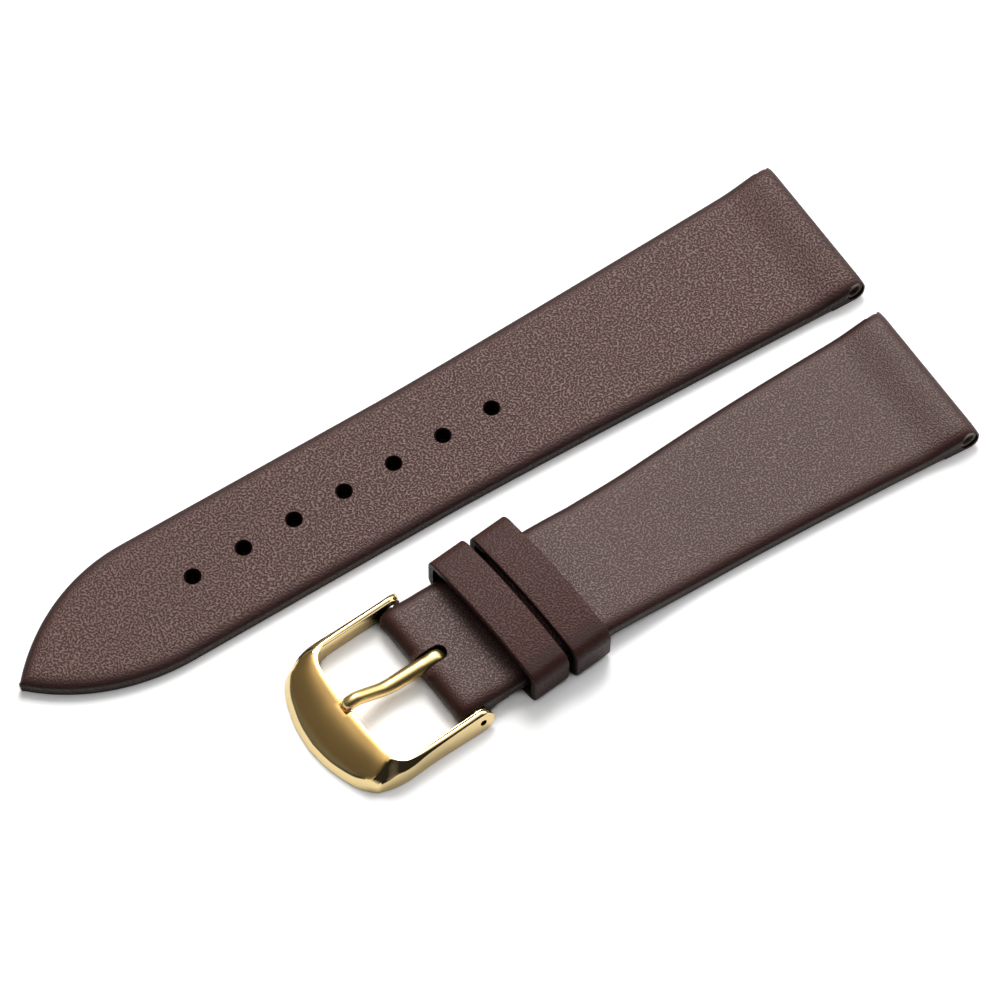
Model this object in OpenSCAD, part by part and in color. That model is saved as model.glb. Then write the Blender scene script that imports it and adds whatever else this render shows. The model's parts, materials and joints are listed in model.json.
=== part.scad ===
// Two-piece leather watch strap, laid out flat: the tail with its holes, and the
// buckle side with two keepers, a pin buckle and the spring bar that holds it.
// X runs along both halves towards their lug ends, Y runs across them, and z = 0 is
// the table. The origin is under the middle of the whole layout.

/* [Strap] */
// Width of both halves at the watch lugs
lug_width = 22; // [20:0.5:24]
// Width of the tail along its holes
tail_width = 18.1; // [16:0.1:18.4]
// Width of the buckle side at its fold
end_width = 17.5; // [16:0.1:17.8]
// Length of the tail from tip to lug end
tail_length = 120; // [105:1:130]
// Length of the pointed part of the tail
tip_length = 20; // [14:1:26]
// Length of the buckle side from fold to lug end
buckle_side_length = 76.9; // [70:1:85]
// Length over which the tail widens to the lug width
tail_flare = 62; // [40:1:70]
// Length over which the buckle side widens to the lug width
buckle_side_flare = 45; // [30:1:48]
// Distance between the two halves' centrelines as laid
lay_pitch = 25.8; // [25.4:0.1:40]
// How far the buckle side's lug end lies short of the tail's
lay_shift = 0.8; // [0:0.1:4]
// Angle at which the buckle and the keepers sit on the strap as laid
askew = 3.5; // [0:0.5:4]

/* [Leather] */
// Thickness of a finished half
body_thick = 2.3; // [2:0.1:2.6]
// Thickness of a half at its lug end
nose_thick = 3.3; // [3:0.1:3.8]
// Length over which the lug end thins to the body
nose_run = 7; // [5:0.5:10]
// Thickness of the upper leather
upper_thick = 0.8; // [0.6:0.05:0.9]
// Thickness of the lining
lining_thick = 0.6; // [0.4:0.05:0.8]
// How far the upper is turned under at each folded end
turned_length = 5; // [4.5:0.1:7]
// Leather between the buckle bar and the outside of the fold
fold_wall = 0.9; // [0.85:0.05:1.2]
// How far the lining stops short of the cut edge
lining_step = 0.12; // [0.05:0.01:0.25]
// Glue line between two layers
glue = 0.02; // [0.01:0.01:0.04]

/* [Holes] */
// Number of adjustment holes
hole_count = 7; // [3:1:9]
// Distance between adjustment holes
hole_pitch = 7.35; // [5:0.05:8]
// Diameter of an adjustment hole
hole_d = 1.9; // [1.5:0.1:2.4]
// Distance from the tip to the first hole
first_hole = 25.2; // [22:0.1:32]
// Bore for the watch's own spring bar
lug_bore_d = 1.7; // [1.5:0.05:2]
// Wall of the tape sleeve round that bore
sleeve_wall = 0.4; // [0.3:0.05:0.45]
// How far the sleeve ends inside the leather
sleeve_recess = 0.3; // [0.1:0.05:0.6]

/* [Keepers] */
// Width of a keeper along the strap
keeper_width = 5.3; // [4:0.1:6.5]
// Width inside a keeper, across the strap
keeper_inside = 19.4; // [19:0.1:20]
// Outer leather of a keeper
keeper_leather = 0.6; // [0.4:0.05:0.8]
// Lining leather of a keeper
keeper_lining = 0.4; // [0.3:0.05:0.6]
// Room left over the two strap layers inside a keeper
keeper_room = 0.2; // [0.1:0.05:0.6]
// Clearance under the strap in the sliding keeper
keeper_gap = 0.1; // [0.05:0.01:0.2]
// Rise of a keeper's top from its shoulders to its middle
keeper_crown = 0.8; // [0.2:0.1:1.2]
// Outer radius of a keeper's upper corners
keeper_top_r = 2.4; // [1.4:0.1:3]
// Outer radius of a keeper's lower corners
keeper_bottom_r = 1.2; // [1.1:0.1:1.6]
// Distance from the bar to the sliding keeper at rest
slider_from_bar = 7; // [6.6:0.1:8]
// Space between the two keepers at rest
keeper_space = 0.8; // [0.8:0.1:2]

/* [Buckle] */
// Gap between the buckle's arms
buckle_gap = 18.2; // [18:0.1:19]
// Thickness of an arm at its top
arm_thick = 1.2; // [1:0.05:1.6]
// How much wider the frame is at its bottom than at its top, on each side
arm_draft = 0.3; // [0.1:0.05:0.5]
// Radius of an arm's round end
arm_end_r = 1.65; // [1.3:0.05:1.7]
// Height of the arms above the bar
arm_rise = 1.35; // [1.1:0.05:1.5]
// Distance from the bar to the front bar's inner edge
window_length = 12.5; // [11:0.1:14]
// How far that edge bows forward in its middle
window_bow = 0.45; // [0:0.05:1]
// Corner radius inside the window
window_r = 2.5; // [1:0.1:3]
// Distance from the bar to the middle of the front edge
frame_reach = 18.4; // [17.5:0.1:22]
// Length of the rounded front, from its corners to its middle
front_depth = 7.6; // [6:0.1:8]
// Height of the front bar at its inner edge
front_height = 3.5; // [3.3:0.1:4]
// Height of the front bar at its outer edge
lip_height = 0.9; // [0.6:0.1:1.4]
// Slope of the facet at each end of the front bar
facet_angle = 40; // [25:1:45]
// Half length of the front bar's face between those facets
face_half = 8.4; // [8:0.1:9]
// Diameter of the tongue's wire
tongue_d = 1.8; // [1.5:0.1:2]
// Thickness of the tongue's loop, along the bar
loop_width = 1.6; // [1.4:0.05:1.7]
// Wall of the tongue's loop round the bar
loop_wall = 0.9; // [0.8:0.05:0.95]
// Distance from the bar to the tongue's bend
bend_reach = 6.9; // [6:0.1:7.5]
// Height of that bend above the bar
bend_height = 0.3; // [0:0.05:0.6]
// Depth to which the tongue's tip sinks into the front bar
notch_depth = 0.75; // [0.4:0.05:0.8]
// Clearance between the tongue and the notch it rests in
notch_play = 0.1; // [0.05:0.01:0.15]
// Play on each side of the tongue in the leather's slot
slot_play = 0.35; // [0.3:0.05:0.5]
// Length of the leather's slot past the bar
slot_reach = 2.3; // [2.2:0.1:3]

/* [Spring bar] */
// Outer diameter of the bar's tube
bar_d = 1.5; // [1.4:0.05:1.6]
// Bore of the bar's tube
bar_bore_d = 1.1; // [1.06:0.02:1.16]
// Diameter of a pin's head inside the tube
head_d = 1.0; // [0.98:0.01:1.02]
// Length of a pin's head
head_length = 1.2; // [0.8:0.1:2]
// Diameter of a pin's tip
tip_d = 0.8; // [0.7:0.02:0.84]
// Length of the tube's rolled end
lip_length = 0.5; // [0.3:0.05:0.8]
// How far a tip reaches into its arm
tip_reach = 1.2; // [0.9:0.05:1.2]
// Radial clearance of every running fit
running = 0.05; // [0.03:0.01:0.08]
// Gap between the tube's end and the arm
tube_gap = 0.15; // [0.1:0.01:0.25]
// Turns of the coil spring
spring_turns = 22; // [14:1:24]
// Wire of the coil spring
spring_wire = 0.16; // [0.12:0.01:0.18]

/* [Hidden] */
$fn = 64;

calf = "#5d4440";
calf_dark = "#3f2a26";
lining_tan = "#a98c6e";
board = "#7a6552";
tape = "#b9b4a6";
gold = "#d2ab55";
steel = "#b8bcc0";

// Leather levels
nose_r = nose_thick / 2;
fold_r = bar_d / 2 + 2 * running + fold_wall;
keeper_wall = keeper_leather + keeper_lining;
strap_lift = keeper_wall + keeper_gap;
slab_height = 2 * (nose_thick + strap_lift);
lug_half = lug_width / 2;
tip_r = (pow(tail_width / 2, 2) + pow(tip_length, 2)) / tail_width;
tip_half_width = 0.3;
tail_power = 1.2;
side_power = 1.6;
core_end = tail_length - 2 * upper_thick;

// Places of the two halves along the layout, and of the bar
tail_x = tail_length / 2;
side_x = tail_x - lay_shift;
bar_s = buckle_side_length - fold_r;
bar_x = side_x - bar_s;
bar_z = fold_r;

// Keepers, measured from the lug end of the buckle side
keepers_near = bar_s - slider_from_bar;
slider_s = keepers_near - keeper_width / 2;
fixed_s = slider_s - keeper_width - keeper_space;
fold_run = 3.8;
lift_run = 17;
lift_start = fixed_s - keeper_width / 2 - lift_run - 1;
keeper_height = 2 * keeper_wall + keeper_gap + 2 * body_thick + keeper_room;
keeper_half = keeper_inside / 2 + keeper_wall;
crown_angle = 78;
crown_share = 0.9;
lining_end = bar_s - turned_length;

// Buckle
gap_half = buckle_gap / 2;
arm_half = gap_half + arm_thick;
frame_half = arm_half + arm_draft;
front_power = 2.2;
face_rise = 0.35;
tongue_r = tongue_d / 2;
loop_bore_r = bar_d / 2 + running;
loop_r = loop_bore_r + loop_wall;
slot_half = tongue_r + slot_play;
tip_z = front_height - bar_z + tongue_r - notch_depth;
hook_reach = 1.1;
hook_rise = 0.5;
tip_over = 0.5;
tip_fall = 0.2;
tongue_line = [
    [0, loop_r - tongue_r],
    [-bend_reach, bend_height],
    [-window_length + hook_reach, tip_z + hook_rise],
    [-window_length - tip_over, tip_z - tip_fall]
];
elbow_lap = 0.25;
wire_step = 0.03;
big = 80;

// Plan of the frame round the bar, with its front towards -X
function front_line(t) =
    [-frame_reach + front_depth * (1 - pow(1 - pow(abs(t), front_power), 1 / front_power)),
        frame_half * t];
frame_plan = concat([[2 * arm_end_r, frame_half], [0, frame_half]],
    [for (a = steps(90, -90, 24)) front_line(sin(a))],
    [[0, -frame_half], [2 * arm_end_r, -frame_half]]);

// Places of the two halves across the layout, whose near side is the frame's
near_reach = max([for (p = frame_plan) -p[0] * sin(askew) - p[1] * cos(askew)]);
tail_y = (lay_pitch + max(lug_half, near_reach) - lug_half) / 2;
side_y = tail_y - lay_pitch;

// Plan of the window between the arms
window_share = 0.8;
function window_corner(a, side) =
    [-window_length + window_bow + window_r * (1 - cos(a)),
        side * (gap_half - window_r * (1 - sin(a)))];
window_plan = concat([[3 * arm_end_r, gap_half]],
    [for (a = steps(90, 0, 6)) window_corner(a, 1)],
    [for (t = steps(window_share, -window_share, 8))
        [-window_length + window_bow * t * t, (gap_half - window_r) * t]],
    [for (a = steps(0, 90, 6)) window_corner(a, -1)],
    [[3 * arm_end_r, -gap_half]]);

// Side view of the frame, from the arm's round end down to the thin front lip
inner_rise = front_height - bar_z;
face_reach = window_length + 1.3;
face_level = inner_rise - 0.55;
facet_azimuth = 127;
underside_share = 0.7;
frame_side = concat(
    [for (a = [-90:15:90]) [arm_end_r * cos(a), arm_end_r * sin(a)]],
    [[-2 * arm_end_r, arm_rise], [-window_length + 2 * window_bow + window_r, arm_rise],
        [-window_length + window_bow, inner_rise]],
    [for (t = steps(0, 1, 6))
        [-window_length - (frame_reach - window_length) * t,
            inner_rise - (front_height - lip_height) * t + face_rise * sin(180 * t)]],
    [[-frame_reach, -bar_z], [-window_length * underside_share, -bar_z]]);

// Spring bar
tube_half = buckle_gap / 2 - tube_gap;
head_out = tube_half - lip_length - running;
tip_out = buckle_gap / 2 + tip_reach;
spring_half = head_out - head_length - running;
spring_r = bar_bore_d / 2 - running - spring_wire / 2;

function ease(t) = let (c = min(1, max(0, t))) c * c * (3 - 2 * c);
function steps(a, b, n) = [for (i = [0:n]) a + (b - a) * i / n];
function flip(list) = [for (i = [len(list) - 1:-1:0]) list[i]];

// Half width of each half at a distance s from its lug end
function flare(s, narrow, run, power) =
    narrow / 2 + (lug_width - narrow) / 2 * pow(max(0, 1 - s / run), power);
function tip_half(s) =
    let (d = s - (tail_length - tip_length))
    max(tip_half_width, tail_width / 2 - tip_r + sqrt(pow(tip_r, 2) - pow(d, 2)));
function tail_half(s) =
    s > tail_length - tip_length ? tip_half(s) : flare(s, tail_width, tail_flare, tail_power);
function side_half(s) = flare(s, end_width, buckle_side_flare, side_power);

// Half height of a round end of radius r, at a distance d from its outermost point
function round_end(d, r) = sqrt(max(0, r * r - pow(max(0, r - d), 2)));

// Upper and lower level of each half
function nose_top(s) =
    body_thick + (nose_thick - body_thick) * (1 - ease((s - nose_r) / nose_run));
function lift(s) = strap_lift * ease((s - lift_start) / lift_run);
function tail_top(s) = s < nose_r ? nose_r + round_end(s, nose_r) : nose_top(s);
function tail_bottom(s) = s < nose_r ? nose_r - round_end(s, nose_r) : 0;
function fold_share(s) = ease((s - (bar_s - fold_run)) / (fold_run - fold_r / 4));
function side_top(s) =
    s < nose_r ? tail_top(s)
    : s > bar_s ? bar_z + round_end(buckle_side_length - s, fold_r)
    : (nose_top(s) + lift(s)) * (1 - fold_share(s)) + 2 * fold_r * fold_share(s);
function side_bottom(s) =
    s < nose_r ? tail_bottom(s)
    : s > bar_s ? bar_z - round_end(buckle_side_length - s, fold_r)
    : lift(s) * (1 - fold_share(s));

// Stations along each half, close together where it curves
nose_s = [for (a = [0:15:90]) nose_r * (1 - cos(a))];
nose_to_body = steps(nose_r + 0.5, nose_r + nose_run, 8);
tail_side_s = concat(nose_s, nose_to_body, [tail_length]);
lift_s = steps(lift_start, lift_start + lift_run, 12);
fold_s = steps(bar_s - fold_run, bar_s - 0.2, 8);
fold_end_s = [for (a = [90:-15:0]) buckle_side_length - fold_r * (1 - cos(a))];
side_side_s = concat(nose_s, nose_to_body, lift_s, fold_s, fold_end_s);
tail_plan_s = concat(steps(0, tail_flare, 16),
    steps(tail_length - tip_length, tail_length, 24));
side_plan_s = concat(steps(0, buckle_side_flare, 14), [buckle_side_length]);

function within(list, a, b) = concat([a], [for (s = list) if (s > a && s < b) s], [b]);
function tail_plan(list, inset) = concat(
    [for (s = list) [-s, tail_half(s) - inset]],
    [for (s = flip(list)) [-s, inset - tail_half(s)]]);
function side_plan(list, inset) = concat(
    [for (s = list) [-s, side_half(s) - inset]],
    [for (s = flip(list)) [-s, inset - side_half(s)]]);
function tail_band(list, low, high) = concat(
    [for (s = list) [-s, tail_bottom(s) + low]],
    [for (s = flip(list)) [-s, high > 0 ? tail_bottom(s) + high : tail_top(s) + high]]);
function side_band(list, low, high) = concat(
    [for (s = list) [-s, side_bottom(s) + low]],
    [for (s = flip(list)) [-s, high > 0 ? side_bottom(s) + high : side_top(s) + high]]);

// Solid with the given plan outline between the two lines of a side view
module slab(plan, band) {
    intersection() {
        translate([0, 0, -slab_height / 4]) linear_extrude(slab_height) polygon(plan);
        rotate([90, 0, 0]) linear_extrude(2 * lug_width, center = true) polygon(band);
    }
}

module across(s, z, d, length) {
    translate([-s, 0, z]) rotate([90, 0, 0]) cylinder(d = d, h = length, center = true);
}

module on_tail() { translate([tail_x, tail_y, 0]) children(); }
module on_side() { translate([side_x, side_y, 0]) children(); }
module on_bar() { translate([bar_x, side_y, bar_z]) rotate([0, 0, askew]) children(); }

module adjustment_holes() {
    for (i = [0:hole_count - 1])
        translate([-(tail_length - first_hole - i * hole_pitch), 0, -1])
            cylinder(d = hole_d, h = body_thick + 2);
}

// Room for the tongue to turn round the bar, cut through the folded end
module tongue_slot() {
    slot_centre = slot_reach - slot_half;
    translate([-buckle_side_length - 1, -slot_half, -1])
        cube([fold_r + 1 + slot_centre, 2 * slot_half, 2 * fold_r + 2]);
    translate([slot_centre - bar_s, 0, -1]) cylinder(r = slot_half, h = 2 * fold_r + 2);
}

// Tail half
module tail_upper() {
    color(calf) on_tail() difference() {
        slab(tail_plan(tail_plan_s, 0), tail_band(tail_side_s, 0, 0));
        slab(tail_plan(within(tail_plan_s, turned_length, tail_length), -1),
            tail_band(within(tail_side_s, turned_length, tail_length), -1, lining_thick));
        slab(tail_plan(within(tail_plan_s, turned_length, core_end), upper_thick),
            tail_band(within(tail_side_s, turned_length, core_end), 0, -upper_thick));
        across(nose_r, nose_r, lug_bore_d + 2 * sleeve_wall + 2 * glue, 2 * lug_width);
        adjustment_holes();
    }
}

module tail_filler() {
    color(board) on_tail() difference() {
        slab(tail_plan(within(tail_plan_s, turned_length + glue, core_end - glue),
                upper_thick + glue),
            tail_band(within(tail_side_s, turned_length + glue, core_end - glue),
                lining_thick + glue, -upper_thick - glue));
        adjustment_holes();
    }
}

module tail_lining() {
    color(lining_tan) on_tail() difference() {
        slab(tail_plan(within(tail_plan_s, turned_length + glue, tail_length - lining_step),
                lining_step),
            tail_band(within(tail_side_s, turned_length + glue, tail_length), 0,
                lining_thick - glue));
        adjustment_holes();
    }
}

module sleeve(half) {
    color(tape) difference() {
        across(nose_r, nose_r, lug_bore_d + 2 * sleeve_wall, 2 * half - 2 * sleeve_recess);
        across(nose_r, nose_r, lug_bore_d, 2 * lug_width);
    }
}

module tail_lug_sleeve() { on_tail() sleeve(tail_half(nose_r)); }

// Buckle side half
module buckle_side_upper() {
    color(calf) on_side() difference() {
        slab(side_plan(side_plan_s, 0), side_band(side_side_s, 0, 0));
        slab(side_plan(within(side_plan_s, turned_length, lining_end), -1),
            side_band(within(side_side_s, turned_length, lining_end), -1, lining_thick));
        slab(side_plan(within(side_plan_s, turned_length, lining_end), upper_thick),
            side_band(within(side_side_s, turned_length, lining_end), 0, -upper_thick));
        across(nose_r, nose_r, lug_bore_d + 2 * sleeve_wall + 2 * glue, 2 * lug_width);
        translate([-bar_s, 0, bar_z]) rotate([0, 0, askew])
            across(0, 0, bar_d + 4 * running, 2 * lug_width);
        tongue_slot();
    }
}

module buckle_side_filler() {
    color(board) on_side()
        slab(side_plan(within(side_plan_s, turned_length + glue, lining_end - glue),
                upper_thick + glue),
            side_band(within(side_side_s, turned_length + glue, lining_end - glue),
                lining_thick + glue, -upper_thick - glue));
}

module buckle_side_lining() {
    color(lining_tan) on_side()
        slab(side_plan(within(side_plan_s, turned_length + glue, lining_end - glue),
                lining_step),
            side_band(within(side_side_s, turned_length + glue, lining_end - glue), 0,
                lining_thick - glue));
}

module buckle_side_lug_sleeve() { on_side() sleeve(side_half(nose_r)); }

// Closed outline of a keeper, drawn in from its outside by d
corner_steps = 5;
function corner(y, z, r, a, b) =
    [for (t = steps(a, b, corner_steps)) [y + r * cos(t), z + r * sin(t)]];
function keeper_line(d) =
    let (w = keeper_half - d, low = d, high = keeper_height - keeper_crown - d,
        rb = keeper_bottom_r - d, rt = keeper_top_r - d)
    concat(
        corner(-w + rb, low + rb, rb, 180, 270),
        corner(w - rb, low + rb, rb, 270, 360),
        corner(w - rt, high - rt, rt, 0, crown_angle),
        [for (t = steps(crown_share, -crown_share, 12))
            [(w - rt) * t, high + keeper_crown * (1 - t * t)]],
        corner(-w + rt, high - rt, rt, 180 - crown_angle, 180));

module keeper_layer(outside, inside) {
    rotate([90, 0, 90 + askew]) linear_extrude(keeper_width, center = true) difference() {
        polygon(keeper_line(outside));
        polygon(keeper_line(inside));
    }
}

module fixed_keeper() {
    color(calf_dark) on_side() translate([-fixed_s, 0, keeper_gap])
        keeper_layer(0, keeper_leather);
}
module fixed_keeper_lining() {
    color(calf) on_side() translate([-fixed_s, 0, keeper_gap])
        keeper_layer(keeper_leather + glue, keeper_wall);
}
module sliding_keeper() {
    color(calf_dark) on_side() translate([-slider_s, 0, 0]) keeper_layer(0, keeper_leather);
}
module sliding_keeper_lining() {
    color(calf) on_side() translate([-slider_s, 0, 0])
        keeper_layer(keeper_leather + glue, keeper_wall);
}

// Everything past the plane through p whose normal leans from upright by tilt,
// towards the given azimuth
module past(p, tilt, azimuth) {
    translate(p) rotate([0, tilt, azimuth]) translate([-big / 2, -big / 2, 0]) cube(big);
}

module side_cuts() {
    past([0, frame_half, -bar_z], 90 - atan2(arm_draft, bar_z + arm_rise), 90);
    past([-face_reach, face_half, face_level], facet_angle, facet_azimuth);
}

module buckle_frame() {
    color(gold) on_bar() difference() {
        intersection() {
            translate([0, 0, -big / 2]) linear_extrude(big) polygon(frame_plan);
            rotate([90, 0, 0]) linear_extrude(big, center = true) polygon(frame_side);
        }
        translate([0, 0, -big / 2]) linear_extrude(big) polygon(window_plan);
        across(0, 0, tip_d + 2 * running, big);
        side_cuts();
        mirror([0, 1, 0]) side_cuts();
        rotate([0, 0, -askew]) wire(tongue_line, tongue_r + notch_play);
    }
}

// Round wire along the points of a side view. Each length is a little thinner than
// the one before, so that it ends inside it at the bend.
module wire(line, r) {
    last = len(line) - 2;
    for (i = [0:last]) {
        run = line[i + 1] - line[i];
        before = i > 0 ? elbow_lap : 0;
        after = i < last ? elbow_lap : 0;
        translate([line[i][0], 0, line[i][1]]) rotate([0, atan2(run[0], run[1]), 0])
            translate([0, 0, -before])
                cylinder(r = r - i * wire_step, h = norm(run) + before + after);
    }
}

module buckle_tongue() {
    color(gold) on_bar() difference() {
        union() {
            across(0, 0, 2 * loop_r, loop_width);
            rotate([0, 0, -askew]) wire(tongue_line, tongue_r);
        }
        across(0, 0, 2 * loop_bore_r, 2 * tongue_d);
    }
}

// Spring bar: a tube with rolled ends, two headed pins and the coil between them
module bar_tube() {
    color(steel) on_bar() difference() {
        across(0, 0, bar_d, 2 * tube_half);
        across(0, 0, bar_bore_d, 2 * (tube_half - lip_length));
        across(0, 0, tip_d + 2 * running, 3 * tube_half);
    }
}
module bar_pin() {
    color(steel) rotate([-90, 0, 0]) {
        translate([0, 0, head_out - head_length]) cylinder(d = head_d, h = head_length);
        translate([0, 0, head_out - head_length / 2])
            cylinder(d = tip_d, h = tip_out - head_out + head_length / 2);
    }
}
module bar_pin_far() { on_bar() bar_pin(); }
module bar_pin_near() { on_bar() mirror([0, 1, 0]) bar_pin(); }

coil_rings = spring_turns * 8;
coil_sides = 6;
function coil_point(i, j) =
    let (a = 360 * i / 8, b = 360 * j / coil_sides, r = spring_r + spring_wire / 2 * cos(b),
        room = spring_half - spring_wire / 2)
    [r * cos(a), -room + 2 * room * i / coil_rings + spring_wire / 2 * sin(b), r * sin(a)];
coil_points = [for (i = [0:coil_rings], j = [0:coil_sides - 1]) coil_point(i, j)];
coil_faces = concat(
    [for (i = [0:coil_rings - 1], j = [0:coil_sides - 1])
        let (a = i * coil_sides + j, b = i * coil_sides + (j + 1) % coil_sides)
        each [[a, a + coil_sides, b], [b, a + coil_sides, b + coil_sides]]],
    [for (j = [1:coil_sides - 2]) [0, j, j + 1]],
    [for (j = [1:coil_sides - 2])
        coil_rings * coil_sides * [1, 1, 1] + [0, j + 1, j]]);
module bar_spring() { color(steel) on_bar() polyhedron(coil_points, coil_faces); }

tail_upper();
tail_filler();
tail_lining();
tail_lug_sleeve();
buckle_side_upper();
buckle_side_filler();
buckle_side_lining();
buckle_side_lug_sleeve();
fixed_keeper();
fixed_keeper_lining();
sliding_keeper();
sliding_keeper_lining();
buckle_frame();
buckle_tongue();
bar_tube();
bar_pin_far();
bar_pin_near();
bar_spring();
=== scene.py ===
import json
import math

import bmesh
import bpy
from bpy.props import FloatProperty, FloatVectorProperty, IntProperty, PointerProperty
from mathutils import Matrix, Vector


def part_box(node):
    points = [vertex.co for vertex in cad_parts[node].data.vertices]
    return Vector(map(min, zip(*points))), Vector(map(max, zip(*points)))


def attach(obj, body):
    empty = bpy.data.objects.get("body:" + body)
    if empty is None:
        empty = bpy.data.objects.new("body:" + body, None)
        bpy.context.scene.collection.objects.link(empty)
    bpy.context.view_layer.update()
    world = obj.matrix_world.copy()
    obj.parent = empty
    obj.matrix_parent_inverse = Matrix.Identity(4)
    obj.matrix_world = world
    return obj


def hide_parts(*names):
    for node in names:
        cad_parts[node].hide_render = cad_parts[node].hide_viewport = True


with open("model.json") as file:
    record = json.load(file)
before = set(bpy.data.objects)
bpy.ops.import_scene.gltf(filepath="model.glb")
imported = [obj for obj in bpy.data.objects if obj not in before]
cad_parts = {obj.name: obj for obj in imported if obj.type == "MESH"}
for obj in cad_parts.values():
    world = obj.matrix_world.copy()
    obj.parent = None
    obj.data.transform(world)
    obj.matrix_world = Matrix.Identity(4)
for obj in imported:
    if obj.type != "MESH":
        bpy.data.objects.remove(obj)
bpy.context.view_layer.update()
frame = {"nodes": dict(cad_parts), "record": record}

bl_info = {
    "name": "Leather watch strap",
    "version": (1, 0, 0),
    "blender": (4, 5, 0),
    "location": "3D View > Sidebar > Strap",
    "description": "Halves, keepers, buckle and spring bar of a leather watch strap",
    "category": "Object",
}

MM = 0.001

# Where the solids stand, in millimetres. The halves are measured from their lug ends.
TAIL_LOW, TAIL_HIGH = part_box("tail_upper")
SIDE_LOW, SIDE_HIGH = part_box("buckle_side_upper")
SWING = next(j for j in frame["record"]["behaviour"]["joints"] if j["name"] == "buckle_swing")
BAR = Vector(SWING["pos_m"]) / MM
ACROSS = Vector(SWING["axis"]).normalized()
ALONG = Vector((ACROSS.y, -ACROSS.x, 0))
UP = Vector((0, 0, 1))
TAIL_LUG = Vector((TAIL_HIGH.x, (TAIL_LOW.y + TAIL_HIGH.y) / 2, 0)) / MM
SIDE_LUG = Vector((SIDE_HIGH.x, (SIDE_LOW.y + SIDE_HIGH.y) / 2, 0)) / MM
BAR_FROM_LUG = SIDE_LUG.x - BAR.x
TAIL_LENGTH = (TAIL_HIGH.x - TAIL_LOW.x) / MM
STRAIGHT = Vector((0, 1, 0))     # the lug bores run straight across, and the bar a little askew

# Measures that every layer shares, in millimetres.
NOSE_SLOPE = 7       # length over which a raised lug end falls to the strap's thickness
LUG_CORNER = 0.5     # radius of a lug end's corners in plan
UNDER = 5            # how far the upper is turned under a lug end and under the fold
GLUE = 0.02          # gap between two layers
SET_IN = 0.12        # how far the lining's edge stands back from the upper's
PAST = 14            # half length of a round cutter that goes right across a half
BAR_WAY = 0.85       # radius of the bar's way through the fold
TAPE_INSIDE = 0.85   # radius of a lug bore, which is that of its tape's inside
TAPE_OUTSIDE = 1.25  # radius of the tape's outside
TAPE_ROOM = 1.27     # radius of the hole in the leather round the tape
ARM_HOLE = 0.45      # radius of the hole in the end of a buckle's arm

# The photograph's viewing angle, and the one lamp inside the light tent. Places and sizes
# are in millimetres, the camera's roll is in degrees and the lamp's power in watts.
CAMERA_AT, CAMERA_AIM, CAMERA_ROLL = (-119.68, -180.99, 409.88), (3.64, 2.38, 0), 0.88
SENSOR, LENS = 36, 133.35
LAMP_AT, LAMP_SIZE, LAMP_POWER = (333, 513, 841), 460, 8.4


def linear(code):
    """Turns an sRGB hex colour into Blender's linear one, with alpha."""
    parts = [int(code[i:i + 2], 16) / 255 for i in (1, 3, 5)]
    return [c / 12.92 if c <= 0.04045 else ((c + 0.055) / 1.055) ** 2.4 for c in parts] + [1.0]


def size(name, default, low, high, note):
    """A size that the user can change."""
    return FloatProperty(name=name, description=note, default=default, min=low, max=high,
                         precision=2)


def colour(name, code, note):
    """A colour that the user can change."""
    return FloatVectorProperty(name=name, description=note, default=linear(code)[:3],
                               subtype="COLOR", min=0, max=1)


class StrapSizes(bpy.types.PropertyGroup):
    """Sizes of the two halves"""
    lug_width: size("Lug width", 22, 20, 24, "Width of both halves at the watch lugs, in mm")
    tail_width: size("Tail width", 18.1, 16, 18.4, "Width of the tail along its holes, in mm")
    end_width: size("Fold width", 17.5, 16, 17.8, "Width of the buckle side at its fold, in mm")
    tip_length: size("Point length", 20, 14, 26, "Length of the pointed part of the tail, in mm")
    tip_lean: size("Point lean", 1.0, 0, 1.5, "How far the point leans to the near side, in mm")
    tail_flare: size("Tail flare", 62, 40, 70, "Length over which the tail widens, in mm")
    side_flare: size("Buckle side flare", 45, 30, 48,
                     "Length over which the buckle side widens, in mm")
    belly: size("Far edge belly", 0.9, 0, 1.5,
                "How far the buckle side's far edge swells out at mid-length, in mm")
    thickness: size("Thickness", 2.3, 2, 2.6, "Thickness of a finished half, in mm")
    fold_reach: size("Fold reach", 2.4, 1.8, 2.8,
                     "How far the fold stands out in front of the bar, in mm")
    nose: size("Lug end thickness", 3.3, 3, 3.8, "Thickness of a half at its lug end, in mm")
    upper: size("Upper leather", 0.8, 0.6, 0.9, "Thickness of the upper leather, in mm")
    lining: size("Lining", 0.6, 0.4, 0.8, "Thickness of the lining, in mm")
    roll_width: size("Edge roll width", 2.2, 1, 3, "How far in the edges start to roll, in mm")
    roll_depth: size("Edge roll depth", 0.9, 0.3, 1.2, "How far the edges roll down, in mm")
    hole: size("Hole diameter", 1.9, 1.5, 2.4, "Diameter of an adjustment hole, in mm")
    first_hole: size("First hole", 25.2, 22, 32, "Distance from the tip to the first hole, in mm")
    hole_pitch: size("Hole spacing", 7.35, 5, 8, "Distance between adjustment holes, in mm")
    hole_count: IntProperty(name="Holes", description="Number of adjustment holes", default=7,
                            min=3, max=9)


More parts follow.
